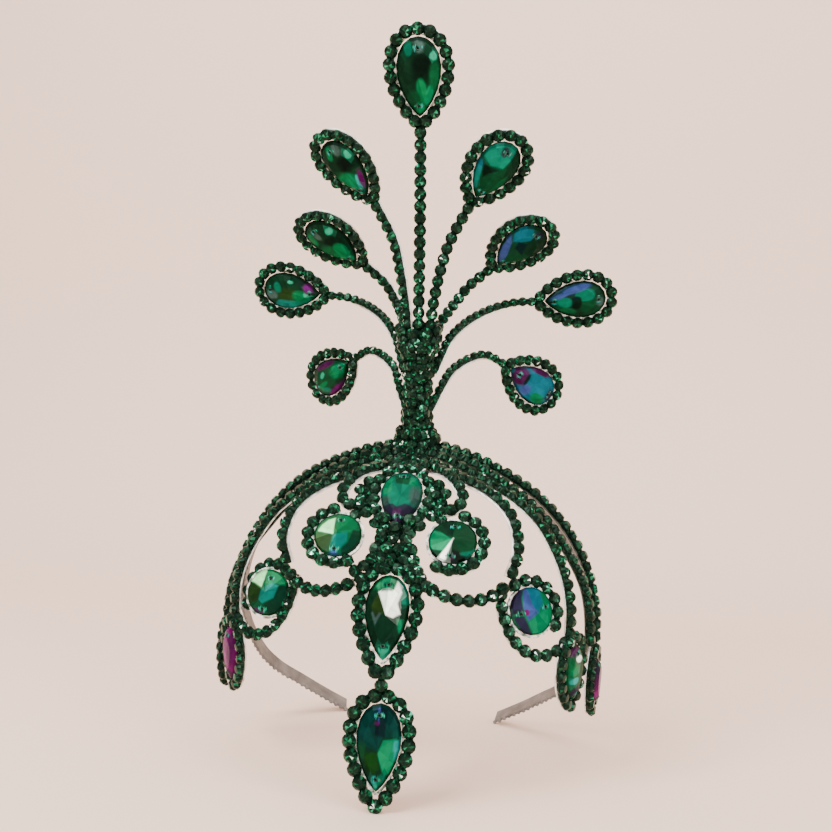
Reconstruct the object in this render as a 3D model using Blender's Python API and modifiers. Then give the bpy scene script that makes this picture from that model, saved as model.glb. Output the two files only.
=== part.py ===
"""Rhinestone headpiece: a tall stage crown of cut crystals on soldered metal strip.

Five rows of small stones arch over the head from side to side and carry a trunk with a fan of nine
stemmed pears, a centre column with a drop over the brow, and scrolls at the temples. A flat metal
headband holds the head and ends behind the ears. Small stones are rows on strip, modelled as plain
round rows except round the two front pears, where each stone is cut out. Sizes are in millimetres in
the maker's frame (X to the wearer's left, -Y forward, Z up the trunk) and become metres when built.
The whole piece then leans forward to rest on the drop's tip and the two ends of the headband.
"""

import math
from collections import namedtuple

import bmesh
import bpy
import numpy as np
from mathutils import Matrix, Vector

MM = 0.001
COLLECTION = "rhinestone_headpiece"

# Small stones on their strip
SMALL_STONE = 5.0
ROW_RADIUS = 2.3
GAP = 0.25
STRIP_WIDTH = 4.0
STRIP_BACK = -1.3
STRIP_FRONT = 0.3
SMALL_SIDES = 10
SMALL_LEVELS = ((-0.2, 0.9), (0.6, 1.0), (2.1, 0.55))

# How finely a row's path is drawn, and how round its rod is
ROD_RESOLUTION = 2
TRUNK_RESOLUTION = 4
SAMPLE = 0.4
LONGEST_STEP = 7.0
SHARPEST_TURN = 20.0
TRIM_REACH = 34.0

# Ring of small stones round a main stone
RING_OFFSET = 2.85
STEM_NECK = 5.2
TIP_REACH = 2.6
BROW_STONES = 18
DROP_STONES = 19

# Trunk: a thick bundle of rows, from the arches up to the fan
TRUNK_RADIUS = 6.6
TRUNK_FLARE = 7.6
TRUNK_BASE = -3.9
TRUNK_TOP = 38.0
TRUNK_LEAN = 5.0

# Headband: flat strip bent round the head
BAND_WIDTH = 8.0
BAND_THICKNESS = 1.2
BAND_STEP = 6.0

# Main stones: section of a cut stone from its back to its table
Level = namedtuple("Level", "height scale turned")
CUT_LEVELS = (
    Level(-1.6, 0.82, 0),
    Level(-0.3, 1.0, 0),
    Level(0.5, 1.0, 0),
    Level(2.1, 0.78, 1),
    Level(3.1, 0.50, 0),
)
PEAR_FULLNESS = 0.6
PEAR_SIDES = 12
ROUND_SIDES = 12

# One row for each main stone. Centre and tip are in the maker's frame, face is the direction it
# looks: degrees to the side and degrees up. Stones with a side stand in pairs, left_turn being
# the left one's degrees to the side and left_drop how much lower it stands.
Stone = namedtuple("Stone", "name cut length width centre tip turn left_turn up left_drop")
CENTRE_STONES = (
    Stone("crest", "pear", 31, 18, (0, 5.5, 146.7), (0, 0.22, -0.975), 0, 0, 0, 0),
    Stone("crown", "pear", 27, 17, (0, -46.4, -13.4), (0, -0.86, -0.5), 0, 0, 60, 0),
    Stone("brow", "pear", 32, 17, (0, -83, -45.5), (0, -0.63, -0.777), 0, 0, 39, 0),
    Stone("drop", "pear", 32, 17, (0, -103.4, -88.5), (0, -0.42, -0.907), 0, 0, 25, 0),
)
PAIRED_STONES = (
    Stone("fan_1", "pear", 28, 17, (30.3, 8, 110.7), (-13.0, 8.0, -19.1), 22, 30, 0, 0),
    Stone("fan_2", "pear", 28, 17, (41.2, 25, 77.4), (-14.4, 8.3, -13.3), 30, 30, 0, 0),
    Stone("fan_3", "pear", 28, 17, (66.6, 47, 50), (-17.2, -2.0, -1.1), 30, 30, 0, 0),
    Stone("fan_4", "pear", 28, 17, (48.1, 47, 9), (-13.1, -8.5, 11.6), 32, 32, 0, 0),
    Stone("scroll", "round", 19, 19, (22.6, -62, -23), (0, 0, -1), 0, 0, 56, 0),
    Stone("temple", "round", 19, 19, (53.6, -57, -53.5), (0, 0, -1), 36, 16, 32, 0),
    Stone("side", "pear", 24, 14, (71, -56, -80.8), (0.02, -0.1, -1), 64, 54, 8, 3.4),
    Stone("ear", "pear", 22, 13, (80.8, -38, -95.5), (0, -0.1, -1), 80, 84, 4, 0),
)

# Rows that arch over the head: right half, from the middle down. Columns: side, front, height.
ARCHES = {
    "arch_ear": (
        (0, 1.5, -6.5),
        (12, 0.5, -7.2),
        (27.3, -3.5, -10.5),
        (43, -6, -17.5),
        (57.2, -6.5, -28.1),
        (68.7, -7.5, -41.7),
        (76.8, -12, -55.8),
        (81, -22, -69),
        (81.5, -33, -82),
    ),
    "arch_back": (
        (0, -3.4, -6.5),
        (12, -4.6, -7.4),
        (27, -9.2, -11.4),
        (42, -11.5, -19.7),
        (55.2, -12.4, -30.8),
        (65.1, -15.3, -42.3),
        (74.1, -25.3, -54.1),
        (77.6, -33, -64),
        (79, -40, -82),
    ),
    "arch_side": (
        (0, -8.3, -7),
        (12, -10.2, -8.1),
        (24, -15, -11.7),
        (35, -19.5, -15.5),
        (45, -24, -19.8),
        (52.8, -29.3, -24.4),
        (58.9, -34.7, -30.1),
        (65.9, -42.7, -41.4),
        (69.2, -50.7, -52.7),
        (69.6, -55, -68),
    ),
    "arch_scroll": (
        (0, -13.2, -8),
        (10, -15.8, -9),
        (21.7, -22.5, -11.8),
        (32.4, -31.2, -13),
        (41.1, -39, -16.5),
        (46.1, -45.6, -21.7),
        (47.8, -53.8, -29.8),
        (45.2, -57.4, -39.5),
    ),
    "arch_loop": (
        (0, -18.1, -8.8),
        (8, -20.5, -8.8),
        (14.8, -26.8, -7.8),
        (19.4, -34.1, -7.6),
        (23, -39, -9.8),
        (24.6, -43.6, -12.2),
        (22, -48.6, -15),
        (12, -50.5, -15.5),
    ),
}

# Fan stems: right half of each pair, from the trunk up to the neck of its pear.
STEMS = {
    "crest": ((0, 3.2, 39), (0, 5.5, 55), (0, 8.5, 80), (0, 9.8, 105), (0, 9.9, 120)),
    "fan_1": ((4.9, 3.2, 39), (5.3, 4.2, 47), (6.6, 5.8, 57.5), (8.9, 8.5, 69.3), (12.4, 12.4, 81)),
    "fan_2": ((5.5, 8.3, 40.2), (7, 12, 43), (10.2, 19.6, 47.4), (14, 26.2, 52), (19.6, 31, 58.6)),
    "fan_3": (
        (7.4, 6.4, 28),
        (11, 14, 36.2),
        (14.7, 21, 40.4),
        (20.4, 29.7, 43.8),
        (29, 38, 46.8),
        (39, 43, 48.6),
    ),
    "fan_4": (
        (5.6, 3.6, 11.5),
        (9.6, 9.6, 18),
        (13, 19, 22.6),
        (20, 28, 25.7),
        (27.6, 34.2, 25.8),
    ),
}

# Swag from the temple junction to the brow pear, right half
SWAG = (
    (44, -60.5, -40.5),
    (39.4, -65, -43),
    (32.5, -70, -43.3),
    (24.9, -74, -41.1),
    (18.3, -76, -37.7),
    (8, -74, -33),
)

# Scrolls: drawn in the plane of their stone, as across and up from its centre
SCROLL_RADIUS = 12.2
SCROLL_START = 112.0
SCROLL_END = -127.0
SCROLL_LEAD = 3.4
SPIRAL_START = 122.0
SPIRAL_END = -52.0
TEMPLE_LOOP = (
    (-9.6, 12.6),
    (-12.2, 5),
    (-12.4, -2.5),
    (-10.6, -9.6),
    (-5.6, -15.6),
    (1.5, -18.1),
    (9, -16.8),
    (17, -11),
)

# Headband, right half, from the top of the head down to the free end
HEADBAND = (
    (0, -1, -9.8),
    (12, -1.9, -10.8),
    (26, -5.2, -14.8),
    (40.2, -6.8, -22.8),
    (54.2, -4.9, -31.2),
    (65.6, -6.8, -43.8),
    (73.4, -10.6, -57),
    (77.8, -11.8, -70),
    (79.6, -12, -82),
    (79.3, -10.6, -93),
    (77.6, -7.4, -105),
    (74, -2.9, -117.6),
    (67.8, 1.4, -127.8),
    (59.5, 5.4, -136.2),
    (49.9, 9, -145),
    (38, 12.4, -154.4),
)

# Pads of small stones in the centre: bridge behind the crown pear, knot below it
Pad = namedtuple("Pad", "name across along thick centre up")
PADS = (
    Pad("crown_bridge", 13, 7.2, 4.2, (0, -26.5, -6.8), 75),
    Pad("brow_knot", 17, 8.4, 4.2, (0, -65.9, -26.6), 48),
)


def material(name, colour, roughness, metallic):
    """A Principled material in a part's own colour."""
    made = bpy.data.materials.new(name)
    made.use_nodes = True
    shader = made.node_tree.nodes["Principled BSDF"]
    shader.inputs["Base Color"].default_value = (*colour, 1.0)
    shader.inputs["Roughness"].default_value = roughness
    shader.inputs["Metallic"].default_value = metallic
    return made


def unit(vector):
    vector = np.asarray(vector, float)
    return vector / np.linalg.norm(vector)


def mirrored(points):
    """The left side's points: X turned round."""
    return np.asarray(points, float) * (-1, 1, 1)


def spline(points):
    """A smooth curve through the points, sampled every SAMPLE millimetres."""
    points = np.asarray(points, float)
    ends = np.vstack([2 * points[0] - points[1], points, 2 * points[-1] - points[-2]])
    drawn = []
    for before, start, end, after in zip(ends, ends[1:], ends[2:], ends[3:]):
        count = max(int(np.linalg.norm(end - start) / SAMPLE * 2), 2)
        for t in np.arange(count) / count:
            drawn.append(
                0.5
                * (
                    2 * start
                    + (end - before) * t
                    + (2 * before - 5 * start + 4 * end - after) * t**2
                    + (3 * start - before - 3 * end + after) * t**3
                )
            )
    drawn.append(points[-1])
    return evenly(np.array(drawn))


def evenly(points, step=SAMPLE):
    """The same line, with its points a fixed step apart."""
    lengths = np.r_[0, np.cumsum(np.linalg.norm(np.diff(points, axis=0), axis=1))]
    count = max(int(round(lengths[-1] / step)), 2)
    places = np.linspace(0, lengths[-1], count + 1)
    return np.stack([np.interp(places, lengths, points[:, k]) for k in range(3)], axis=1)


def thinned(points, closed=False):
    """Few points that still follow the bends: a new one at each turn or long step."""
    kept = [0]
    turned = travelled = 0.0
    for i in range(1, len(points) - 1):
        before = unit(points[i] - points[i - 1])
        after = unit(points[i + 1] - points[i])
        turned += math.degrees(math.acos(np.clip(before @ after, -1, 1)))
        travelled += np.linalg.norm(points[i] - points[i - 1])
        if turned > SHARPEST_TURN or travelled > LONGEST_STEP:
            kept.append(i)
            turned = travelled = 0.0
    last = len(points) - 1
    nearest = SAMPLE if closed else ROW_RADIUS
    if len(kept) > 1 and np.linalg.norm(points[last] - points[kept[-1]]) < nearest:
        kept.pop()
    if not closed:
        kept.append(last)
    return points[kept]


class Frame:
    """A stone's own directions: across it, up from its tip and out of its face."""

    def __init__(self, stone, left=False):
        side = -1 if left else 1
        turn = math.radians(stone.left_turn if left else stone.turn) * side
        rise = math.radians(stone.up)
        face = np.array(
            [
                math.sin(turn) * math.cos(rise),
                -math.cos(turn) * math.cos(rise),
                math.sin(rise),
            ]
        )
        self.centre = np.asarray(stone.centre, float) * (side, 1, 1)
        if left:
            self.centre[2] -= stone.left_drop
        tip = unit(np.asarray(stone.tip, float) * (side, 1, 1))
        self.out = face
        if stone.cut == "pear":
            self.out = unit(face - (face @ tip) * tip)
            self.up = -tip
        else:
            self.up = unit(np.array([0, 0, 1.0]) - face[2] * face)
        self.across = np.cross(self.up, self.out)

    def place(self, flat, height=0.0):
        """Points of the stone's plane, as across and up, in the maker's frame."""
        flat = np.asarray(flat, float)
        return (
            self.centre
            + flat[:, :1] * self.across
            + flat[:, 1:] * self.up
            + height * self.out
        )

    def matrix(self):
        made = Matrix.Identity(4)
        for column, direction in enumerate((self.across, self.up, self.out)):
            for row in range(3):
                made[row][column] = direction[row]
        made.translation = Vector(self.centre) * MM
        return made


def pear_outline(length, width, count):
    """Round end up, tip down and first, anticlockwise."""
    turn = np.arange(count) / count * 2 * math.pi
    across = np.sin(turn) * np.sin(turn / 2) ** PEAR_FULLNESS
    across *= width / 2 / across.max()
    return np.stack([across, -length / 2 * np.cos(turn)], axis=1)


def round_outline(width, count):
    turn = -math.pi / 2 + np.arange(count) / count * 2 * math.pi
    return np.stack([width / 2 * np.cos(turn), width / 2 * np.sin(turn)], axis=1)


def pear_ring(stone, offset, reach=0.0):
    """The line round a pear at a distance, from below its tip, which it passes by the reach."""
    outline = pear_outline(stone.length, stone.width, 360)
    ahead = np.roll(outline, -1, axis=0) - outline
    normals = np.stack([ahead[:, 1], -ahead[:, 0]], axis=1)
    normals /= np.linalg.norm(normals, axis=1)[:, None]
    sides = outline + normals * offset
    first = math.atan2(normals[0][1], normals[0][0])
    corner = np.linspace(-math.pi / 2, first, 12, endpoint=False)
    arc = outline[0] + offset * np.stack([np.cos(corner), np.sin(corner)], axis=1)
    closing = arc[::-1] * (-1, 1)
    line = np.vstack([arc, sides, closing[:-1]])
    quarter = stone.length / 4
    line[:, 1] -= reach * np.clip((-quarter - line[:, 1]) / (quarter + offset), 0, 1) ** 2
    return line


def arc_points(radius, start, end, lead=0.0):
    """An arc clockwise from start to end in degrees, with its first part lifted by lead."""
    angles = np.linspace(start, end, 60)
    lifted = radius + lead * np.clip((angles - 60) / 50, 0, 1) ** 2
    turn = np.radians(angles)
    return np.stack([lifted * np.cos(turn), lifted * np.sin(turn)], axis=1)


def clearance(points, line, radius):
    """Room between a row's surface at each of its points and another row's surface."""
    tangents = np.gradient(points, axis=0)
    room = np.full(len(points), np.inf)
    starts = line[:-1]
    spans = line[1:] - starts
    squared = (spans**2).sum(axis=1)
    for i, (point, tangent) in enumerate(zip(points, tangents)):
        aside = unit(np.cross(tangent, (0.3, 0.5, 0.8)))
        other = unit(np.cross(tangent, aside))
        turns = np.arange(8) / 8 * 2 * math.pi
        rim = point + ROW_RADIUS * (np.outer(np.cos(turns), aside) + np.outer(np.sin(turns), other))
        along = ((rim[:, None] - starts) * spans).sum(axis=2) / squared
        nearest = starts + spans * np.clip(along, 0, 1)[..., None]
        room[i] = np.linalg.norm(rim[:, None] - nearest, axis=2).min() - radius
    return room


def cut_back(points, others):
    """The row without the stretch at its far end that would run into another row."""
    reach = min(int(TRIM_REACH / SAMPLE), len(points) - 4)
    tail = points[-reach:]
    blocked = np.zeros(len(tail), bool)
    for line, radius in others:
        blocked |= clearance(tail, line, radius) < GAP
    if not blocked.any():
        return points
    first = int(np.argmax(blocked))
    return points[: len(points) - reach + first]


laid = {}


def remember(name, line, radius=ROW_RADIUS):
    """Keeps where a row lies, for the rows that are cut back against it."""
    laid[name] = (np.asarray(line, float), radius)


def between(points, start=(), end=()):
    """The row cut back at each end where it meets the rows named."""
    points = cut_back(points, [laid[name] for name in end]) if end else points
    if start:
        points = cut_back(points[::-1], [laid[name] for name in start])[::-1]
    return points


def add(obj, home, parent, finish):
    obj.data.materials.append(finish)
    home.objects.link(obj)
    obj.parent = parent
    return obj


def round_row(name, points, finish, radius=ROW_RADIUS, closed=False, sizes=None):
    """A round rod along a line: how a row of small stones on its strip is modelled."""
    data = bpy.data.curves.new(name, "CURVE")
    data.dimensions = "3D"
    data.bevel_depth = radius * MM
    data.bevel_resolution = ROD_RESOLUTION
    data.use_fill_caps = True
    line = data.splines.new("POLY")
    line.points.add(len(points) - 1)
    line.use_cyclic_u = closed
    for i, point in enumerate(points):
        line.points[i].co = (*(np.asarray(point) * MM), 1.0)
        line.points[i].radius = 1.0 if sizes is None else sizes[i]
    made = bpy.data.objects.new(name, data)
    return add(made, home, rest_pose, finish)


def lay_row(name, points, start=(), end=()):
    """Trims a row against those it meets, models it and remembers where it lies."""
    points = thinned(between(points, start, end))
    remember(name, points)
    return round_row(name, points, row_finish)


def mesh_object(name, bm, finish, matrix):
    data = bpy.data.meshes.new(name)
    bmesh.ops.recalc_face_normals(bm, faces=bm.faces)
    bm.to_mesh(data)
    bm.free()
    made = bpy.data.objects.new(name, data)
    made.matrix_local = matrix
    return add(made, home, rest_pose, finish)


def loft(bm, sections):
    """Rings of points joined by faces and closed at both ends."""
    rings = [[bm.verts.new(Vector(point) * MM) for point in section] for section in sections]
    count = len(rings[0])
    for lower, upper in zip(rings, rings[1:]):
        for i in range(count):
            j = (i + 1) % count
            bm.faces.new((lower[i], lower[j], upper[j], upper[i]))
    bm.faces.new(rings[0][::-1])
    bm.faces.new(rings[-1])


def stone_sections(outline):
    """A cut stone's rings of corners, from its back through girdle and crown to its table."""
    middle = 0.5 * (outline + np.roll(outline, -1, axis=0))
    for level in CUT_LEVELS:
        flat = (middle if level.turned else outline) * level.scale
        yield [(x, y, level.height) for x, y in flat]


def main_stone(name, stone, frame, finish):
    if stone.cut == "pear":
        outline = pear_outline(stone.length, stone.width, PEAR_SIDES)
    else:
        outline = round_outline(stone.width, ROUND_SIDES)
    bm = bmesh.new()
    loft(bm, stone_sections(outline))
    return mesh_object(name, bm, finish, frame.matrix())


def small_stone(bm, place):
    """One cut small stone that stands on the strip: back, girdle and table."""
    turns = np.arange(SMALL_SIDES) / SMALL_SIDES * 2 * math.pi
    circle = np.stack([np.cos(turns), np.sin(turns)], axis=1) * SMALL_STONE / 2
    sections = []
    for height, scale in SMALL_LEVELS:
        sections.append([(place[0] + x * scale, place[1] + y * scale, height) for x, y in circle])
    loft(bm, sections)


def loose_stones(name, places, matrix):
    """A hidden helper: the small stones of one ring, for its union with the strip."""
    bm = bmesh.new()
    for place in places:
        small_stone(bm, place)
    data = bpy.data.meshes.new(name)
    bmesh.ops.recalc_face_normals(bm, faces=bm.faces)
    bm.to_mesh(data)
    bm.free()
    made = bpy.data.objects.new(name, data)
    made.hide_render = True
    made.display_type = "WIRE"
    made.matrix_local = matrix
    helpers.objects.link(made)
    made.parent = rest_pose
    return made


def stone_ring(name, stone, frame, count, pair_at_tip):
    """The strip round a front pear with every small stone cut out and soldered on."""
    line = pear_ring(stone, RING_OFFSET, TIP_REACH)
    around = np.c_[np.vstack([line, line[:1]]), np.zeros(len(line) + 1)]
    length = np.linalg.norm(np.diff(around, axis=0), axis=1).sum()
    places = evenly(around, length / count / 2)
    places = places[1::2] if pair_at_tip else places[:-1:2]
    inner = pear_ring(stone, RING_OFFSET - STRIP_WIDTH / 2, TIP_REACH)
    outer = pear_ring(stone, RING_OFFSET + STRIP_WIDTH / 2, TIP_REACH)
    picked = thinned(np.c_[line, np.zeros(len(line))], closed=True)
    rows = [int(np.linalg.norm(line - point[:2], axis=1).argmin()) for point in picked]
    bm = bmesh.new()
    corners = []
    for i in rows:
        corners.append(
            [
                bm.verts.new(Vector((x, y, z)) * MM)
                for (x, y), z in (
                    (inner[i], STRIP_BACK),
                    (outer[i], STRIP_BACK),
                    (outer[i], STRIP_FRONT),
                    (inner[i], STRIP_FRONT),
                )
            ]
        )
    for now, following in zip(corners, corners[1:] + corners[:1]):
        for k in range(4):
            bm.faces.new((now[k], now[(k + 1) % 4], following[(k + 1) % 4], following[k]))
    ring = mesh_object(name, bm, row_finish, frame.matrix())
    union = ring.modifiers.new("solder", "BOOLEAN")
    union.operation = "UNION"
    union.object = loose_stones(name + "_stones", places, frame.matrix())
    union.use_self = True
    remember(name, frame.place(np.vstack([line, line[:1]])), STRIP_WIDTH / 2)


def plain_ring(name, stone, frame):
    """A closed round row about a pear."""
    line = pear_ring(stone, RING_OFFSET)
    closed = evenly(frame.place(np.vstack([line, line[:1]])))
    picked = thinned(closed, closed=True)
    remember(name, np.vstack([picked, picked[:1]]))
    round_row(name, picked, row_finish, closed=True)


def stem_and_ring(name, stone, frame, stem, start=()):
    """A fan stem that runs up to its pear and once round it, as one soldered row."""
    ring = pear_ring(stone, RING_OFFSET)
    neck = frame.place([(0, -stone.length / 2 - STEM_NECK)])
    leave = int(np.argmax((ring[:, 0] > ROW_RADIUS + GAP / 2) & (ring[:, 1] < 0)))
    arrive = len(ring) - leave
    stalk = spline(np.vstack([stem, neck]))
    around = frame.place(ring[leave:arrive])
    line = evenly(np.vstack([stalk, around]))
    opening = evenly(np.vstack([stalk, around[:8]]))
    line = cut_back(line, [(opening, ROW_RADIUS)])
    lay_row(name, line, start=start)


def arch(name, half, end=()):
    """A row over the head from one side to the other."""
    half = np.asarray(half, float)
    whole = spline(np.vstack([mirrored(half)[:0:-1], half]))
    left = tuple(f"{other}_left" for other in end)
    right = tuple(f"{other}_right" for other in end)
    lay_row(name, whole, start=left, end=right)


def ribbon(name, half, finish):
    """The headband: an open strip of quads along a line, given its thickness by Solidify."""
    half = np.asarray(half, float)
    line = evenly(spline(np.vstack([mirrored(half)[:0:-1], half])), BAND_STEP)
    tangents = np.gradient(line, axis=0)
    bm = bmesh.new()
    edges = []
    for point, tangent in zip(line, tangents):
        along = unit(tangent)
        wide = unit(np.array([0, 1.0, 0]) - along[1] * along)
        edges.append(
            [bm.verts.new(Vector(point + side * BAND_WIDTH / 2 * wide) * MM) for side in (-1, 1)]
        )
    for (a, b), (c, d) in zip(edges, edges[1:]):
        bm.faces.new((a, b, d, c))
    band = mesh_object(name, bm, finish, Matrix.Identity(4))
    wall = band.modifiers.new("thickness", "SOLIDIFY")
    wall.thickness = BAND_THICKNESS * MM
    wall.offset = 0
    wall.use_even_offset = True


def trunk(finish):
    """The bundle of rows that stands on the arches and opens out into the fan."""
    heights = (TRUNK_BASE, 4, 14, 26, 33, TRUNK_TOP)
    sizes = (7.4, 6.8, 6.4, 6.7, TRUNK_FLARE, 8.8)
    line = [(0, TRUNK_LEAN * max(z, 0) / TRUNK_TOP, z) for z in heights]
    shares = [size / TRUNK_RADIUS for size in sizes]
    rod = round_row("trunk", line, finish, TRUNK_RADIUS, sizes=shares)
    rod.data.bevel_resolution = TRUNK_RESOLUTION
    remember("trunk_waist", line[:4], TRUNK_RADIUS)
    remember("trunk_flare", line[3:], TRUNK_FLARE)


def pad(spec, finish):
    """A flat patch of small stones, rounded at its edges."""
    rise = math.radians(90 - spec.up)
    bm = bmesh.new()
    bmesh.ops.create_cube(bm, size=1.0)
    size = Vector((spec.across, spec.along, spec.thick)) * MM
    bmesh.ops.scale(bm, vec=size, verts=bm.verts)
    place = Matrix.Translation(Vector(spec.centre) * MM) @ Matrix.Rotation(rise, 4, "X")
    made = mesh_object(spec.name, bm, finish, place)
    bevel = made.modifiers.new("edges", "BEVEL")
    bevel.width = 1.2 * MM
    bevel.segments = 2


def stand_on_floor(objects):
    """Leans the piece forward until the drop's tip and the band's ends rest at height 0."""
    bpy.context.view_layer.update()
    graph = bpy.context.evaluated_depsgraph_get()

    def corners(names):
        found = []
        for obj in objects:
            if names and obj.name not in names:
                continue
            evaluated = obj.evaluated_get(graph)
            mesh = evaluated.to_mesh()
            found += [evaluated.matrix_world @ vertex.co for vertex in mesh.vertices]
            evaluated.to_mesh_clear()
        return np.array(found)

    front = corners(("drop_ring",))
    back = corners(("headband",))
    everything = corners(())
    low, high = 0.0, math.radians(45)
    for _ in range(50):
        lean = (low + high) / 2
        down = np.array([0, math.sin(lean), math.cos(lean)])
        if (front @ down).min() < (back @ down).min():
            high = lean
        else:
            low = lean
    turn = Matrix.Rotation(lean, 4, "X")
    turned = everything @ np.array(turn.to_3x3()).T
    middle = (turned.min(axis=0) + turned.max(axis=0)) / 2
    rest_pose.rotation_euler = (lean, 0, 0)
    rest_pose.location = (-middle[0], -middle[1], -turned[:, 2].min())
    bpy.context.view_layer.update()


for old in list(bpy.data.objects):
    bpy.data.objects.remove(old, do_unlink=True)
home = bpy.data.collections.new(COLLECTION)
helpers = bpy.data.collections.new("cutters")
helpers.hide_render = True
for group in (home, helpers):
    bpy.context.scene.collection.children.link(group)
rest_pose = bpy.data.objects.new("rest_pose", None)
home.objects.link(rest_pose)

row_finish = material("small_stones", (0.01, 0.11, 0.05), 0.18, 0.3)
stone_finish = material("cut_crystal", (0.01, 0.30, 0.16), 0.06, 0.2)
metal_finish = material("headband_metal", (0.55, 0.54, 0.52), 0.4, 0.9)

# Main stones
frames = {}
stones = {}
for stone in CENTRE_STONES:
    stones[stone.name] = stone
    frames[stone.name] = Frame(stone)
for stone in PAIRED_STONES:
    for side, left in (("right", False), ("left", True)):
        key = f"{stone.name}_{side}"
        stones[key] = stone
        frames[key] = Frame(stone, left)
for key, stone in stones.items():
    main_stone(f"stone_{key}", stone, frames[key], stone_finish)

# Rings that stand by themselves
plain_ring("crown_ring", stones["crown"], frames["crown"])
stone_ring("brow_ring", stones["brow"], frames["brow"], BROW_STONES, pair_at_tip=True)
stone_ring("drop_ring", stones["drop"], frames["drop"], DROP_STONES, pair_at_tip=False)
for key in ("side", "ear"):
    for side in ("right", "left"):
        plain_ring(f"{key}_ring_{side}", stones[f"{key}_{side}"], frames[f"{key}_{side}"])

# Arches, trunk and headband
trunk(row_finish)
arch("arch_ear", ARCHES["arch_ear"], end=("ear_ring",))
arch("arch_back", ARCHES["arch_back"], end=("ear_ring",))
arch("arch_side", ARCHES["arch_side"], end=("side_ring",))
arch("arch_scroll", ARCHES["arch_scroll"])
loops = np.asarray(ARCHES["arch_loop"], float)
lay_row(
    "arch_loop",
    spline(np.vstack([mirrored(loops)[:0:-1], loops])),
    start=("crown_ring",),
    end=("crown_ring",),
)
ribbon("headband", HEADBAND, metal_finish)
for spec in PADS:
    pad(spec, row_finish)

# Fan
stem_and_ring("fan_crest", stones["crest"], frames["crest"], np.array(STEMS["crest"], float))
for key in ("fan_1", "fan_2", "fan_3", "fan_4"):
    from_trunk = {"fan_3": ("trunk_flare",), "fan_4": ("trunk_waist",)}.get(key, ())
    for side in ("right", "left"):
        stem = np.asarray(STEMS[key], float)
        stem = stem if side == "right" else mirrored(stem)
        name = f"{key}_{side}"
        stem_and_ring(name, stones[name], frames[name], stem, start=from_trunk)

# Temples, scrolls and swags
for side in ("right", "left"):
    flip = (-1, 1) if side == "left" else (1, 1)
    stone = stones[f"temple_{side}"]
    temple = Frame(stone._replace(left_turn=stone.turn), left=side == "left")
    loop = np.asarray(TEMPLE_LOOP, float) * flip
    lay_row(
        f"temple_loop_{side}",
        spline(temple.place(loop)),
        start=("arch_scroll",),
        end=(f"side_ring_{side}", "arch_side"),
    )
    spiral = arc_points(SCROLL_RADIUS, SPIRAL_START, SPIRAL_END) * flip
    lay_row(
        f"temple_spiral_{side}",
        evenly(temple.place(spiral)),
        start=("arch_scroll", f"temple_loop_{side}"),
        end=(f"temple_loop_{side}",),
    )
    scroll = frames[f"scroll_{side}"]
    coil = arc_points(SCROLL_RADIUS, SCROLL_START, SCROLL_END, SCROLL_LEAD) * flip
    lay_row(f"scroll_ring_{side}", evenly(scroll.place(coil)), start=("arch_loop",))
    swag = np.asarray(SWAG, float) if side == "right" else mirrored(SWAG)
    lay_row(
        f"swag_{side}",
        spline(swag),
        start=("arch_scroll", f"temple_loop_{side}", f"temple_spiral_{side}"),
        end=("brow_ring",),
    )

# Link between the brow pear and the drop
upper = frames["brow"].place([(0, -stones["brow"].length / 2 - RING_OFFSET - TIP_REACH)])[0]
lower = frames["drop"].place([(0, stones["drop"].length / 2 + RING_OFFSET)])[0]
inset = unit(lower - upper) * (SMALL_STONE / 2 + GAP)
round_row("drop_link", [upper + inset, lower - inset], row_finish)

stand_on_floor([obj for obj in home.objects if obj.type != "EMPTY"])
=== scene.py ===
"""The rhinestone headpiece as it looks: cut stones, strip, glue and headband, round the CAD frame.

Paths are in the maker's frame in millimetres (X to the wearer's left, -Y forward, Z up the trunk),
as in the part's source, and REST puts them where the piece stands, in metres. Left and right in
names are those of someone who looks at the piece from the front.
"""

import itertools
import math

import bmesh
import bpy
import numpy as np
from mathutils import Matrix, Vector


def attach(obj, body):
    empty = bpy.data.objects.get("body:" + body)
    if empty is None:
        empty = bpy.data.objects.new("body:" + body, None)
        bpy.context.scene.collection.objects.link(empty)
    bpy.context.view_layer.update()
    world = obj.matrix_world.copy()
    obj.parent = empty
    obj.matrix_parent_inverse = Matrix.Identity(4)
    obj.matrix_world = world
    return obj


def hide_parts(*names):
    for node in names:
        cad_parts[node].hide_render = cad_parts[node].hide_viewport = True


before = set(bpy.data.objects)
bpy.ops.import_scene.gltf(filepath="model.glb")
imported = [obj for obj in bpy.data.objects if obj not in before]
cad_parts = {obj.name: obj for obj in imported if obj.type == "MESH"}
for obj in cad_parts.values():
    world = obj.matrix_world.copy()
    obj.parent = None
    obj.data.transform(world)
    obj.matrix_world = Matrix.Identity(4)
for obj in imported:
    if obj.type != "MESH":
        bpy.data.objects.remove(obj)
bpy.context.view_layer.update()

MM = 0.001
LEAN = math.radians(20.396086)
REST = Matrix.Translation(Vector((-0.02, 0.84, 142.7)) * MM) @ Matrix.Rotation(LEAN, 4, "X")

# Small stones. The rings of one, from its back to its table: height, share of its width, turn in corners
STONE_WIDTH = 5.45
STONE_PITCH = 5.0
STONE_CORNERS = 12
STONE_RINGS = ((-1.7, 0.5, 0), (-0.5, 0.95, 0), (0.3, 1.0, 0), (1.75, 0.58, 0.5))
STONE_TOP = 1.8
STONE_TILT = 0.12
# How brightly its facets may flash: back, lower side, girdle, upper side, bevel and table
STONE_SHINE = (0.5, 0.6, 0.8, 0.93, 0.88, 1.0)
STONE_GLOW = (0.87, 1.06)

# The strip that the small stones are glued on, and the core of glue between them, dark as painted shade
STRIP_WIDTH = 3.2
STRIP_THICKNESS = 0.5
STRIP_DROP = 1.95
CORE_WIDTH = 2.6
CORE_THICKNESS = 1.5
CORE_DROP = 0.7

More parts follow.
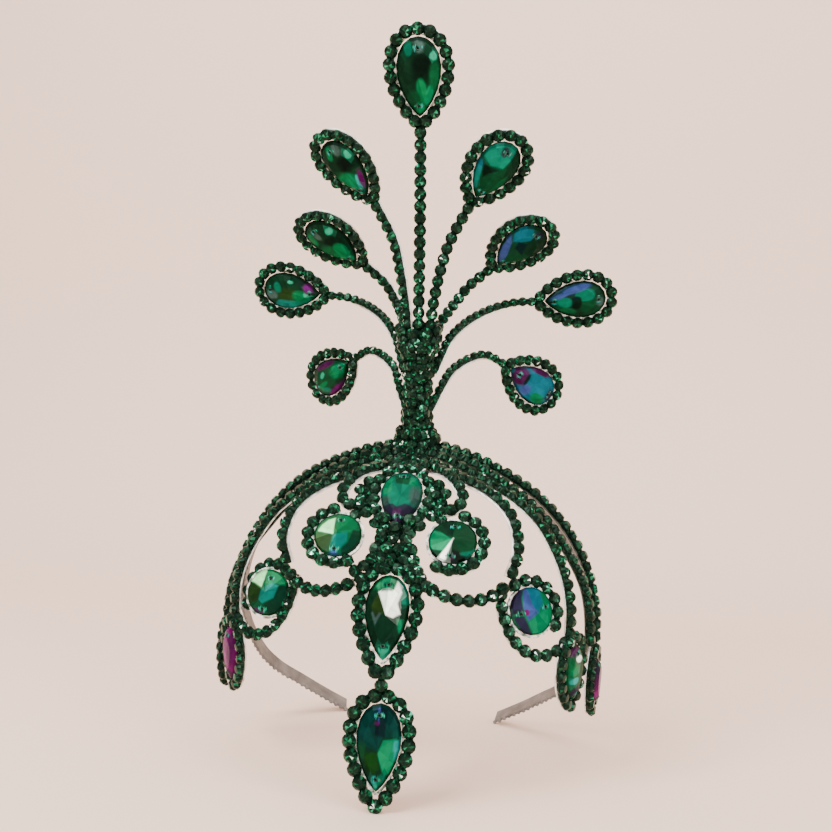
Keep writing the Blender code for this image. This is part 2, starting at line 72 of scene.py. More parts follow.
# Main stones: height of the face at each share of the way from centre to girdle
GIRDLE_FOOT = -0.3
BACK_DROP = -1.6
BACK_SHARE = 0.82
RISES = {
    "pear": ((0, 3.1), (0.62, 2.9), (0.88, 1.7), (1, 0.5)),
    "round": ((0, 3.1), (0.62, 1.7), (0.92, 0.95), (1, 0.5)),
}
PEAR_FULLNESS = 0.6
FACETS = 20
# Rings of facets by cut: from and to this share of the outline, sectors joined, shift, flatness, light
CUT_TIERS = {
    "pear": ((0.0, 0.66, 2, 0, 0.1, 1.0), (0.66, 0.9, 1, 1, 0.3, 0.95), (0.9, 1.0, 1, 0, 0.7, 0.6)),
    "round": ((0.0, 0.9, 2, 0, 0.1, 1.0), (0.9, 1.0, 1, 0, 0.6, 0.7)),
}
FACET_STEPS = 6
FACET_LIGHT = (0.8, 1.2)
FACE_RINGS = tuple(1 - step / 24 for step in range(24))
GLEAM_EDGE = 0.5
BLOT_SQUARENESS = 2.4
# Painted shade on a main stone, by how far it faces up
SKY_SHADE = 0.35

# Rings of small stones round the pears. Those that reach below their pear's tip have a set number.
RING_OFFSET = 2.85
TIP_REACH = 2.6
RING_COUNTS = {"brow": 18, "drop": 19}
COUNTED_SIZE = 1.06

# Colours that the cut stones throw back from their foil, by letter, and painted highlights such as W and X
FOIL_AND_HIGHLIGHTS = {
    "K": (0.0010, 0.0053, 0.0030),  # near black
    "D": (0.0023, 0.0165, 0.0075),  # deep green
    "F": (0.0023, 0.0330, 0.0120),  # forest green
    "E": (0.0030, 0.0615, 0.0210),  # dim emerald
    "G": (0.0015, 0.1050, 0.0345),  # green
    "L": (0.0012, 0.1230, 0.0480),  # light green
    "J": (0.0011, 0.1013, 0.0570),  # jade
    "T": (0.0008, 0.1125, 0.0900),  # teal
    "C": (0.0026, 0.0863, 0.1237),  # sea blue
    "U": (0.0300, 0.0540, 0.1875),  # blue
    "V": (0.0120, 0.0090, 0.0225),  # dark violet
    "P": (0.0420, 0.0037, 0.0375),  # plum
    "M": (0.1275, 0.0008, 0.0900),  # magenta
    "N": (0.0120, 0.2640, 0.1500),  # mint
    "A": (0.0112, 0.2475, 0.2250),  # aqua
    "W": (0.9200, 1.0000, 0.9000),  # white
    "X": (0.3800, 1.0000, 0.4200),  # white with green in it
    "I": (0.0008, 0.1250, 0.0780),  # sea green
    "S": (0.0338, 0.0675, 0.0585),  # silvery grey
    "O": (0.0090, 0.0240, 0.0042),  # olive
    "B": (0.0017, 0.0079, 0.0097),  # blue black
    "R": (0.0002, 0.1500, 0.0600),  # rich emerald
    "Y": (0.0030, 0.0250, 0.0035),  # moss
    "H": (0.0012, 0.0230, 0.0190),  # dark teal
    "Q": (0.0700, 0.0020, 0.0700),  # purple
}
# The painted white highlights, which stay as bright on a stone that faces up
WHITE_HIGHLIGHTS = "WX"

# What the small stones, and the strips and glue darkened as painted shade, reflect at a glancing angle
GREEN_TINT = (0.4, 0.55, 0.45, 1)
# A small stone's facets, from the dull ones to those that flash
FLASH_STOPS = (
    (0.0, (0.0030, 0.0090, 0.0055)),
    (0.48, (0.0055, 0.0150, 0.0090)),
    (0.70, (0.0075, 0.0260, 0.0145)),
    (0.82, (0.0080, 0.0640, 0.0290)),
    (0.92, (0.0120, 0.1950, 0.0850)),
    (0.98, (0.0600, 0.5000, 0.3000)),
    (1.0, (0.9000, 0.9500, 0.9000)),
)

# Where each main stone stands: the cut, its length and width, its centre, the way its tip points,
# the way it faces, as degrees to the side (right, left) and up, and how much lower the left one is.
MAIN_STONES = {
    "crest": ("pear", 31, 18, (0, 5.5, 146.7), (0, 0.22, -0.975), (0, 0), 0, 0),
    "crown": ("pear", 27, 17, (0, -46.4, -13.4), (0, -0.86, -0.5), (0, 0), 60, 0),
    "brow": ("pear", 32, 17, (0, -83, -45.5), (0, -0.63, -0.777), (0, 0), 39, 0),
    "drop": ("pear", 32, 17, (0, -103.4, -88.5), (0, -0.42, -0.907), (0, 0), 25, 0),
    "fan_1": ("pear", 28, 17, (30.3, 8, 110.7), (-13.0, 8.0, -19.1), (22, 30), 0, 0),
    "fan_2": ("pear", 28, 17, (41.2, 25, 77.4), (-14.4, 8.3, -13.3), (30, 30), 0, 0),
    "fan_3": ("pear", 28, 17, (66.6, 47, 50), (-17.2, -2.0, -1.1), (30, 30), 0, 0),
    "fan_4": ("pear", 28, 17, (48.1, 47, 9), (-13.1, -8.5, 11.6), (32, 32), 0, 0),
    "scroll": ("round", 19, 19, (22.6, -62, -23), (0, 0, -1), (0, 0), 56, 0),
    "temple": ("round", 19, 19, (53.6, -57, -53.5), (0, 0, -1), (36, 16), 32, 0),
    "side": ("pear", 24, 14, (71, -56, -80.8), (0.02, -0.1, -1), (64, 54), 8, 3.4),
    "ear": ("pear", 22, 13, (80.8, -38, -95.5), (0, -0.1, -1), (80, 84), 4, 0),
}
CENTRAL = ("crest", "crown", "brow", "drop")
SIDES = (("right", False), ("left", True))

# The shimmer painted on each main stone: its ground letter, then the gleams over it, which are painted
# reflections and highlights. A gleam is a letter with the corners of a patch, or with a rounded patch's
# centre, two half widths, turn in degrees and how soft its edge is. Places and widths are across and up, as
# shares of the stone's half width and length.
SHIMMER = {
    "crest": ("D", (
        ("K", 0.2, 0.25, 0.5, 0.35, 0, 0.5), ("J", -0.44, 0.74, 0.18, 0.18, 10, 0.25),
        ("S", 0.05, 0.8, 0.2, 0.16, 0, 0.5), ("N", 0.7, 0.55, 0.18, 0.1, -40, 0.2),
        ("E", 0.75, 0.05, 0.25, 0.35, 0, 0.6), ("G", 0.15, -0.3, 0.22, 0.3, 8, 0.35),
        ("F", -0.2, -0.55, 0.3, 0.25, 0, 0.5), ("L", 0.45, -0.42, 0.16, 0.26, -15, 0.25),
        ("G", 0.05, -0.75, 0.2, 0.15, 0, 0.5),
    )),
    "fan_1_left": ("D", (
        ("F", 0, -0.35, 0.8, 0.45, 0, 0.6), ("K", 0.3, 0.2, 0.4, 0.25, 0, 0.5),
        ("G", -0.12, 0.68, 0.17, 0.2, -20, 0.25), ("S", 0.35, 0.72, 0.2, 0.18, 0, 0.5),
        ("N", 0.78, 0.45, 0.16, 0.13, 0, 0.25), ("G", -0.15, -0.3, 0.5, 0.28, 20, 0.45),
        ("L", 0.02, -0.42, 0.3, 0.24, 20, 0.35), ("A", 0.33, -0.46, 0.11, 0.28, -22, 0.25),
        ("Q", 0.52, -0.42, 0.12, 0.3, -22, 0.3), ("N", -0.08, -0.8, 0.1, 0.1, 0, 0.4),
    )),
    "fan_1_right": ("F", (
        ("D", ((0.1, 1), (1.1, 1), (1.1, -0.6), (0.5, 0))),
        ("I", ((-1, 0.75), (-0.68, 0.88), (0.28, 1), (0.34, 0.7), (0.22, 0.28), (-0.4, 0.2), (-0.9, 0.36))),
        ("V", -0.14, 0.74, 0.17, 0.14, 0, 0.3),
        ("K", ((-0.75, 0.16), (0.13, 0.17), (-0.25, -0.05), (-0.4, -0.25))),
        ("T", ((-0.9, 0.22), (-0.68, 0), (-0.3, -0.68), (-0.6, -0.7), (-1, -0.23))),
        ("C", -0.84, 0.06, 0.12, 0.16, 18, 0.4), ("E", 0.5, -0.3, 0.12, 0.4, -12, 0.5),
    )),
    "fan_2_left": ("D", (
        ("G", -0.5, 0.53, 0.2, 0.24, -15, 0.4), ("S", -0.07, 0.6, 0.17, 0.2, 0, 0.5),
        ("N", 0.66, 0.44, 0.2, 0.11, -20, 0.2), ("K", 0.2, 0, 0.5, 0.3, 0, 0.5),
        ("E", -0.35, -0.25, 0.4, 0.4, 0, 0.5), ("G", -0.2, -0.5, 0.3, 0.25, 0, 0.4),
        ("G", 0.15, -0.35, 0.35, 0.36, -20, 0.3), ("L", 0.4, -0.38, 0.1, 0.25, -20, 0.4),
        ("L", 0.05, -0.75, 0.2, 0.15, 0, 0.4),
    )),
    "fan_2_right": ("F", (
        ("D", ((-0.1, 1), (1, 1), (1, 0), (0.3, 0), (-0.1, 0.3))),
        ("C", ((-0.87, 0.71), (-0.5, 0.86), (-0.1, 0.77), (-0.06, 0.53), (-0.35, 0.3), (-0.68, 0.15),
            (-0.9, 0.39))),
        ("B", ((-0.45, 0.26), (-0.03, 0.36), (0.3, -0.1), (-0.3, 0))),
        ("U", ((-1, 0.3), (-0.65, 0.08), (-0.28, -0.37), (-0.08, -0.77), (-0.32, -0.8), (-0.75, -0.3))),
        ("V", 0.1, 0.8, 0.2, 0.12, 0, 0.5),
    )),
    "fan_3_left": ("D", (
        ("T", -0.72, 0.08, 0.3, 0.42, 0, 0.2), ("J", -0.5, -0.4, 0.15, 0.35, 15, 0.4),
        ("O", -0.15, 0.1, 0.35, 0.35, 0, 0.5), ("G", -0.15, -0.4, 0.3, 0.3, 0, 0.4),
        ("N", -0.05, -0.6, 0.15, 0.12, 0, 0.4), ("S", -0.25, 0.65, 0.25, 0.2, 0, 0.5),
        ("J", 0.2, 0.45, 0.3, 0.12, 20, 0.4), ("N", 0.57, 0, 0.09, 0.1, 0, 0.3),
        ("Q", 0.28, -0.62, 0.3, 0.14, 25, 0.35),
    )),
    "fan_3_right": ("D", (
        ("F", 0.35, 0.5, 0.4, 0.4, 0, 0.6), ("J", -0.3, 0.3, 0.34, 0.32, 0, 0.2),
        ("U", -0.62, 0.02, 0.18, 0.45, 15, 0.3), ("K", 0.1, 0.02, 0.35, 0.17, -10, 0.2),
        ("J", 0.08, -0.38, 0.28, 0.25, 0, 0.25), ("E", 0.5, -0.3, 0.15, 0.3, -15, 0.5),
        ("U", -0.28, -0.5, 0.12, 0.3, 20, 0.4), ("S", 0.15, 0.8, 0.25, 0.12, 0, 0.5),
    )),
    "fan_4_left": ("D", (
        ("F", 0, 0, 0.6, 0.8, 0, 0.6), ("J", -0.55, 0.42, 0.15, 0.25, -25, 0.3),
        ("G", -0.22, 0.45, 0.13, 0.28, 0, 0.3), ("N", 0.25, 0.25, 0.14, 0.14, 20, 0.2),
        ("Q", -0.86, 0, 0.16, 0.5, 5, 0.3), ("P", 0.64, -0.05, 0.17, 0.45, -8, 0.25),
        ("G", -0.05, -0.45, 0.35, 0.32, 0, 0.4), ("L", 0.1, -0.6, 0.16, 0.3, -12, 0.3),
        ("L", -0.2, -0.45, 0.1, 0.24, 8, 0.3),
    )),
    "fan_4_right": ("C", (
        ("V", 0, 0.8, 0.35, 0.16, 0, 0.5), ("G", 0.55, 0.42, 0.28, 0.3, 0, 0.15),
        ("P", -0.8, 0, 0.16, 0.45, 8, 0.4), ("U", 0.5, -0.2, 0.3, 0.2, 0, 0.6),
        ("P", 0, -0.62, 0.5, 0.3, 0, 0.25), ("K", 0, -0.36, 0.35, 0.07, 0, 0.4),
        ("D", 0.97, 0.2, 0.12, 0.5, 0, 0.3),
    )),
    "crown": ("J", (
        ("F", ((-0.45, 0.8), (0.4, 0.8), (0.3, 0.4), (-0.3, 0.45))),
        ("R", ((-0.93, 0.55), (-0.53, 0.72), (-0.46, 0.19), (-0.72, 0), (-0.93, 0.19))),
        ("R", ((0.35, 0.72), (0.68, 0.62), (0.65, 0.37), (0.35, 0.42))),
        ("S", -0.72, -0.2, 0.25, 0.16, 0, 0.8), ("S", 0.68, 0.05, 0.25, 0.3, 0, 0.8),
        ("V", ((-0.9, -0.36), (-0.3, -0.3), (-0.1, -0.4), (0.25, -0.28), (0.8, -0.36), (0.4, -1.1),
            (-0.4, -1.1))),
        ("P", -0.05, -0.62, 0.22, 0.16, 0, 0.6),
    )),
    "brow": ("D", (
        ("O", ((-0.74, 0.2), (-0.4, 0.5), (-0.07, 0.08), (-0.37, -0.06))),
        ("J", ((0.36, 0.9), (0.96, 0.86), (1.03, 0.31), (0.66, 0.3))),
        ("W", ((-0.4, 0.55), (0.26, 0.6), (0.4, 0.86), (0.62, 0.58), (0.48, 0.3), (0.64, 0.07),
            (0.33, -0.04), (0, 0.02))),
        ("R", ((0.48, -0.04), (0.72, -0.06), (0.78, -0.33), (0.64, -0.38))),
        ("S", ((-0.68, 0.06), (-0.44, -0.23), (-0.2, 0.06), (-0.3, 0.07), (-0.44, -0.06), (-0.56, 0.07))),
        ("G", ((-0.7, 0.6), (-0.4, 0.9), (-0.35, 0.62))), ("R", -0.02, 0.78, 0.3, 0.17, 0, 0.25),
        ("N", ((-0.22, -0.68), (0.3, -0.66), (0.2, -0.94), (0, -1.02), (-0.2, -0.9))),
    )),
    "drop": ("D", (
        ("H", ((-1, 0.1), (-1, 1), (1, 1), (1, 0.3), (0.2, 0.25), (0, -0.05))),
        ("B", ((-0.1, 0.95), (0.35, 0.9), (0.3, 0.25), (-0.15, 0.3))),
        ("R", ((0.24, 0.2), (0.82, 0.25), (1.1, 0.08), (0.8, -0.2), (0.62, -0.5), (0.35, -0.62),
            (0.01, -0.12))),
        ("A", ((0.7, 0.21), (1.05, 0.18), (1, -0.1), (0.72, -0.22))),
        ("Y", ((-0.6, -0.1), (0.0, -0.1), (0.14, -0.45), (-0.15, -0.62), (-0.5, -0.4))),
        ("F", ((-0.9, 0.1), (-0.5, 0.1), (-0.6, -0.3), (-0.8, -0.2))),
        ("U", -0.02, 0.78, 0.05, 0.16, 0, 0.4), ("Q", -0.08, 0.57, 0.12, 0.04, 0, 0.3),
        ("J", 0.2, -0.72, 0.16, 0.14, -20, 0.4), ("A", -0.08, -0.72, 0.12, 0.1, 0, 0.5),
        ("N", -0.03, -0.88, 0.1, 0.08, 0, 0.4),
    )),
    "scroll_left": ("E", (
        ("G", ((-0.14, 0.9), (0.3, 0.95), (0.9, 0.45), (0.5, 0.05), (-0.14, -0.1))),
        ("T", ((-0.14, -0.15), (0.42, 0.04), (0.45, -0.36), (0.22, -0.68), (-0.17, -0.66))),
        ("X", ((-0.2, 0.72), (-0.15, -0.12), (-0.84, 0.07), (-0.72, 0.34), (-0.47, 0.62))),
        ("O", ((-0.88, 0.02), (-0.2, -0.17), (-0.24, -0.92), (-0.67, -0.72), (-0.95, -0.3))),
        ("D", ((0.62, 0.2), (1, 0.2), (0.9, -0.6), (0.3, -0.95), (0.25, -0.7), (0.5, -0.4))),
        ("U", -0.02, -0.84, 0.14, 0.18, 0, 0.5),
    )),
    "scroll_right": ("F", (
        ("D", ((-0.8, 0.45), (-0.28, 0.95), (0.08, 1), (0, 0.1), (-0.34, 0.12))),
        ("R", ((-0.97, 0.1), (-0.84, 0.45), (-0.54, 0.36), (0, -0.06), (-0.34, -0.52), (-0.9, -0.42))),
        ("K", ((-0.93, -0.45), (-0.34, -0.52), (-0.5, -0.95))),
        ("K", ((0.05, -0.45), (0.9, -0.7), (0.5, -1), (-0.1, -1))),
        ("J", ((0.32, -0.57), (0.94, -0.36), (0.84, -0.68), (0.38, -0.66))),
        ("W", ((0.04, 0.02), (-0.22, -0.92), (-0.4, -1.05), (-0.52, -0.84), (-0.38, -0.6))),
        ("P", 0.06, -0.74, 0.12, 0.13, 0, 0.3),
    )),
    "temple_left": ("F", (
        ("G", ((-0.24, 1), (0.29, 1), (0.88, 0.7), (0.8, 0.45), (0.16, 0.43), (-0.24, 0.2))),
        ("X", ((-0.93, 0.35), (-0.63, 0.85), (-0.28, 0.98), (-0.25, 0.5), (-0.27, 0.17), (-0.63, 0.28))),
        ("T", ((-0.22, 0.14), (0.16, 0.45), (0.52, 0.37), (0.42, -0.16), (-0.07, -0.5), (-0.3, -0.36))),
        ("O", ((-0.95, 0.25), (-0.3, 0.15), (-0.3, -0.4), (-0.7, -0.6), (-0.95, -0.3))),
        ("D", ((0.5, 0.37), (0.95, 0.45), (0.85, -0.5), (0.3, -0.9), (0, -0.55), (0.42, -0.18))),
        ("P", -0.15, -0.82, 0.3, 0.1, 0, 0.5),
    )),
    "temple_right": ("G", (
       
        ("U", ((-0.1, 1), (0.42, 0.9), (0.52, 0.3), (0.16, -0.16), (-0.37, -0.36), (-0.43, 0.17),
            (-0.3, 0.63))),
        ("C", ((0.05, 1), (0.6, 0.85), (0.55, 0.2), (0.16, -0.1), (0, 0.2))),
        ("R", ((0.16, -0.14), (0.72, -0.09), (0.62, -0.75), (0.16, -1), (-0.24, -0.95), (-0.37, -0.42))),
        ("V", ((-1, 0.04), (-0.9, 0.6), (-0.57, 0.95), (-0.1, 1), (-0.37, 0.63), (-0.47, 0.1))),
        ("V", ((-1, 0), (-0.5, -0.12), (-0.26, -0.95), (-0.7, -0.85))), ("M", -0.34, 0, 0.1, 0.12, 0, 0.3),
    )),
    "side_right": ("E", (
        ("P", -0.1, 0.85, 0.6, 0.14, 0, 0.4), ("W", 0.1, 0.55, 0.4, 0.12, -20, 0.2),
        ("L", -0.2, 0.2, 0.6, 0.16, 0, 0.3), ("A", -0.4, -0.15, 0.4, 0.12, -10, 0.25),
        ("F", 0.5, 0, 0.35, 0.5, 0, 0.4), ("V", 0, -0.6, 0.6, 0.22, 0, 0.4),
    )),
    "side_left": ("M", (
        ("P", 0.5, 0.3, 0.4, 0.6, 0, 0.5), ("P", 0, -0.7, 0.5, 0.25, 0, 0.5),
    )),
    "ear_right": ("V", (
        ("P", 0, 0.1, 0.9, 0.4, 0, 0.5), ("M", -0.1, -0.25, 0.7, 0.4, 0, 0.5),
    )),
    "ear_left": ("M", (
        ("P", 0, 0.6, 0.8, 0.3, 0, 0.5), ("P", 0, -0.7, 0.5, 0.2, 0, 0.6),
    )),
}

# Sewing holes, across and up as shares of the half width and length. In the right temple's stone they
# lie side by side.
HOLES = {
    "pear": ((0, 0.74), (0, -0.7)),
    "round": ((0.05, 0.62), (-0.03, -0.72)),
    "temple_right": ((0.62, 0.02), (-0.62, 0)),
}

HOLE_CORNERS = 8
# A hole's rim from outside in: radius and lift
HOLE_RIM = ((0.95, 0.02), (0.7, 0.28), (0.45, 0.12))

# Upright glints beside a hole: their places across, half heights, drift up or down, half width and
# lift off the face. They shrink with the distance from the hole and would end at the reach.
GLINTS = (-1.7, -1.2, -0.75, 0.8, 1.25, 1.8)
GLINT_HEIGHT = (1.2, 2.3)
GLINT_DRIFT = (-0.4, 0.4)
GLINT_WIDTH = 0.24
GLINT_LIFT = 0.07
GLINT_REACH = 3.2
GLINT_LETTERS = "SNSAJSN"
BROW_GLINT_LETTERS = "FKEHFKE"

# How far apart the points of a smooth path are
PATH_STEP = 0.5

# The right half of each arch, from its top. The stones face away from the head's centre, and the two
# arches nearest the brow have the wide strips.
ARCHES = {
    "arch_ear": (
        (0, 1.5, -6.5), (12, 0.5, -7.2), (27.3, -3.5, -10.5), (43, -6, -17.5), (57.2, -6.5, -28.1),
        (68.7, -7.5, -41.7), (76.8, -12, -55.8), (81, -22, -69), (81.5, -31.7, -80.5),
    ),
    "arch_back": (
        (0, -3.4, -6.5), (12, -4.6, -7.4), (27, -9.2, -11.4), (42, -11.5, -19.7), (55.2, -12.4, -30.8),
        (65.1, -15.3, -42.3), (74.1, -25.3, -54.1), (77.6, -33, -64), (78.8, -38.7, -78.6),
    ),
    "arch_side": (
        (0, -8.3, -7), (12, -10.2, -8.1), (24, -15, -11.7), (35, -19.5, -15.5), (45, -24, -19.8),
        (52.8, -29.3, -24.4), (58.9, -34.7, -30.1), (65.9, -42.7, -41.4), (69.2, -50.7, -52.7),
        (69.6, -54.7, -66.8),
    ),
    "arch_scroll": (
        (0, -13.2, -8), (10, -15.8, -9), (21.7, -22.5, -11.8), (32.4, -31.2, -13), (41.1, -39, -16.5),
        (46.1, -45.6, -21.7), (47.8, -53.8, -29.8), (45.2, -57.4, -39.5),
    ),
    "arch_loop": (
        (0, -18.1, -8.8), (8, -20.5, -8.8), (14.8, -26.8, -7.8), (19.4, -34.1, -7.6), (23, -39, -9.8),
        (24.6, -43.6, -12.2), (22, -48.6, -15), (13.2, -50.3, -15.5),
    ),
}
HEAD_CENTRE = (0, -4, -75)
WIDE_STRIP = 4.2
NARROW_STRIP = 2.8

# The right half of the fan: each stem from the trunk to near its pear
STEMS = {
    "crest": ((0, 3.2, 39), (0, 5.5, 55), (0, 8.5, 80), (0, 9.8, 105), (0, 9.9, 120)),
    "fan_1": ((4.9, 3.2, 39), (5.3, 4.2, 47), (6.6, 5.8, 57.5), (8.9, 8.5, 69.3), (12.4, 12.4, 81)),
    "fan_2": ((5.5, 8.3, 40.2), (7, 12, 43), (10.2, 19.6, 47.4), (14, 26.2, 52), (19.6, 31, 58.6)),
    "fan_3": (
        (6.4, 4.5, 25.4), (11, 14, 36.2), (14.7, 21, 40.4), (20.4, 29.7, 43.8), (29, 38, 46.8),
        (39, 43, 48.6),
    ),
    "fan_4": ((4.8, 1.8, 8.6), (9.6, 9.6, 18), (13, 19, 22.6), (20, 28, 25.7), (27.6, 34.2, 25.8)),
}
# The way that a stem's stones face, on the right and on the left, and their size
STEM_STONES = {
    "crest": ((0, -1, 0.15), (0, -1, 0.15), 1.0),
    "fan_1": ((0, -1, 0.15), (-0.7, -0.7, 0.2), 0.98),
    "fan_2": ((0.2, -1, 0.3), (-0.7, -0.6, 0.4), 0.95),
    "fan_3": ((-0.2, -0.5, 1), (0.2, -0.5, 1), 0.8),
    "fan_4": ((-0.2, -0.5, 1), (0.2, -0.5, 1), 0.8),
}
# How far below its pear's tip a stem meets the ring, and how late its stones turn to the pear's face
STEM_NECK = 4.0
STEM_TURN = 4

# The right swag, from the temple's loop to the brow pear's ring
SWAG = (
    (44, -60.5, -40.5), (39.4, -65, -43), (32.5, -70, -43.3), (24.9, -74, -41.1), (18.3, -76, -37.7),
    (14.1, -75.4, -35.7),
)
# The loop round the right temple's stone, across and up from its centre
TEMPLE_LOOP = (
    (-9.6, 12.6), (-12.2, 5), (-12.4, -2.5), (-10.6, -9.6), (-5.6, -15.6), (1.5, -18.1), (9, -16.8),
    (17, -11),
)
# What its two ends lose, to meet the rows beside them
TEMPLE_LOOP_CUT = (1.0, 5.0)
# The open rings round the round stones: their first and last degree, and how far a scroll's start
# leads out, from which degree and over how many
SPIRAL_TURN = (122, -52)
SCROLL_TURN = (84, -127)
SCROLL_RADIUS = 12.2
SCROLL_LEAD = 3.4
SCROLL_LEAD_FROM = 60
SCROLL_LEAD_OVER = 50
COIL_POINTS = 60

# The headband's right half, from the top. Its front edge is set back to leave room for the knobs.
HEADBAND = (
    (0, -1, -9.8), (12, -1.9, -10.8), (26, -5.2, -14.8), (40.2, -6.8, -22.8), (54.2, -4.9, -31.2),
    (65.6, -6.8, -43.8), (73.4, -10.6, -57), (77.8, -11.8, -70), (79.6, -12, -82), (79.3, -10.6, -93),
    (77.6, -7.4, -105), (74, -2.9, -117.6), (67.8, 1.4, -127.8), (59.5, 5.4, -136.2), (49.9, 9, -145),
    (38, 12.4, -154.4),
)
BAND_WIDTH = 8.0
BAND_THICKNESS = 1.2
BAND_BEVEL = 0.3
BAND_STEP = 1.5
KNOB_PITCH = 3.0
KNOB_RADIUS = 1.05
KNOB_ROOM = 0.6
KNOB_INSET = 0.2

# The bundle of the trunk: height and radius, how far its top leans back, its columns of stones and how
# far above the first and last height they start and end
TRUNK_SIZES = ((-3.9, 7.4), (4, 6.8), (14, 6.4), (26, 6.7), (33, 7.6), (38, 8.8))
TRUNK_LEAN = 5.0
TRUNK_COLUMNS = 9
TRUNK_POINTS = 60
TRUNK_TRIM = (0.4, 1.0)
TRUNK_PITCH = 4.2
TRUNK_STONE_DEPTH = 1.7
TRUNK_SCATTER = 0.45
# Collars of stones: height, radius, number and how far they face up
TRUNK_COLLARS = (
    (-4.6, 8.6, 13, 0.4), (-1.0, 7.6, 11, 0.2), (36, 7.6, 11, -0.2), (40, 8.1, 11, -0.2),
    (43.5, 8.6, 9, -0.2),
)
COLLAR_DEPTH = 0.8
COLLAR_SCATTER = 0.35

# Stones massed beside the crown pear, across and up from its centre, on one side, and their height
CROWN_SIDE_HEIGHT = -0.6
CROWN_SIDE_SPOTS = (
    (14.2, 8.6), (17.4, 4.6), (13.6, 3.4), (16.2, -0.4), (12.0, -1.8), (13.2, -6.8), (17.4, -8.6),
    (8.8, -11.6), (5.4, -15.6),
)
# Stones over the crown pear's tip, and the last ones of the swags beside the brow pear's ring
CROWN_TIP_HEIGHT = 2.2
CROWN_TIP_SPOTS = ((-4.9, -10.4), (4.7, -10.8), (-0.4, -14.6))
SWAG_END_SPOTS = (
    (-11.6, -73.7, -34.8), (-14.0, -72.1, -32.9), (-10.6, -70.6, -31.0), (-5.8, -70.4, -31.2),
    (13.8, -74.6, -36.0), (11.3, -72.9, -33.6), (9.9, -71.2, -31.4), (6.4, -70.4, -31.2),
)
# Patches: name, centre, degrees up, lift, and its stones across and along
PATCHES = (
    ("crown_bridge", (0, -26.5, -6.8), 75, 0.0, (
        (-4.4, -1.4), (0, -1.5), (4.4, -1.4), (-2.3, 2.1), (2.3, 2.1), (-6.2, 2.0), (6.2, 2.0),
    )),
    ("brow_knot", (0, -65.9, -26.6), 48, 0.4, (
        (-7.2, 0.6), (-2.6, 1.2), (2.0, 1.0), (6.8, 0.8), (-5.0, -3.2), (-0.4, -3.4), (4.6, -3.2),
        (-5.4, 4.8), (-0.6, 5.2), (4.4, 4.9), (-8.0, -4.0), (8.2, -3.6),
    )),
)

# How far the single stone's strip stays from the rings above and below it
LINK_GAP = 2.0

# The line of silver and glue round a main stone: how far from its edge, and its height
SETTING_GAP = 0.55
SETTING_HEIGHT = -0.2

# The photograph's view in the maker's frame
VIEW_PLACE = (57.1, -409.6, 148.7)
VIEW_WAY = (-0.1316, 0.9363, -0.3256)
SENSOR_WIDTH = 36
FOCAL_PIXELS = 1000
PHOTO_PIXELS = 832

# The room in metres: the floor's front and back edges, the bend up to the wall, its top and half width
FLOOR_FRONT = -1.6
FLOOR_BACK = 0.35
FLOOR_BEND = 0.35
WALL_TOP = 2.2
FLOOR_HALF = 2.2
LIGHT_AIM = (0, 0, 0.15)
# Soft lights: name, place, size, power and colour
LIGHTS = (
    ("key", (-0.7, -0.9, 1.0), (0.7, 0.7), 30, (1, 0.97, 0.94)),
    ("fill", (1.0, -0.8, 0.5), (0.9, 0.9), 18, (1, 0.96, 0.93)),
    ("front", (0.1, -1.3, 0.25), (0.3, 0.6), 7, (1, 1, 1)),
    ("top", (0, -0.1, 1.4), (1.2, 1.2), 22, (1, 0.97, 0.95)),
)


# Directions and lines


def unit(vector):
    """The same direction, with a length of 1."""
    vector = np.asarray(vector, float)
    return vector / np.linalg.norm(vector, axis=-1, keepdims=True)


def columns(*values):
    """The values side by side, with a row for each point."""
    return np.stack(np.broadcast_arrays(*values), axis=1)


def circle(turn):
    """Points of a circle of radius 1."""
    return columns(np.cos(turn), np.sin(turn))


def to_world(points):
    """From the maker's frame in millimetres to the piece's place, in metres."""
    return np.asarray(points, float) * MM @ np.array(REST.to_3x3()).T + np.array(REST.translation)


def mirrored(points):
    """The points at the other side of the head."""
    return np.asarray(points, float) * (-1, 1, 1)


def distances(path):
    """How far along a line each of its points is."""
    return np.r_[0, np.cumsum(np.linalg.norm(np.diff(path, axis=0), axis=1))]


def picked(values, lengths, places):
    """The values at some places along a line, from those at its points."""
    return columns(*(np.interp(places, lengths, column) for column in values.T))


def evenly(points, step=None, count=None):
    """The same line with its points an even step apart."""
    points = np.asarray(points, float)
    lengths = distances(points)
    count = count or max(int(round(lengths[-1] / step)), 1)
    return picked(points, lengths, np.linspace(0, lengths[-1], count + 1))


def smooth(points):
    """A smooth line through the points."""
    points = np.asarray(points, float)
    ends = np.vstack([2 * points[0] - points[1], points, 2 * points[-1] - points[-2]])
    t = np.linspace(0, 1, 12, endpoint=False)[:, None]
    runs = []
    for a, b, c, d in zip(ends, ends[1:], ends[2:], ends[3:]):
        bend = (2 * a - 5 * b + 4 * c - d) * t**2 + (3 * b - a - 3 * c + d) * t**3
        runs.append(0.5 * (2 * b + (c - a) * t + bend))
    return evenly(np.vstack(runs + [points[-1:]]), step=PATH_STEP)


def over_the_head(half):
    """A smooth line from side to side, from the points of its half at positive X."""
    half = np.asarray(half, float)
    return smooth(np.vstack([mirrored(half)[:0:-1], half]))


def shortened(points, start, end):
    """The line without its first and last millimetres."""
    lengths = distances(points)
    return picked(points, lengths, np.arange(start, lengths[-1] - end, PATH_STEP))


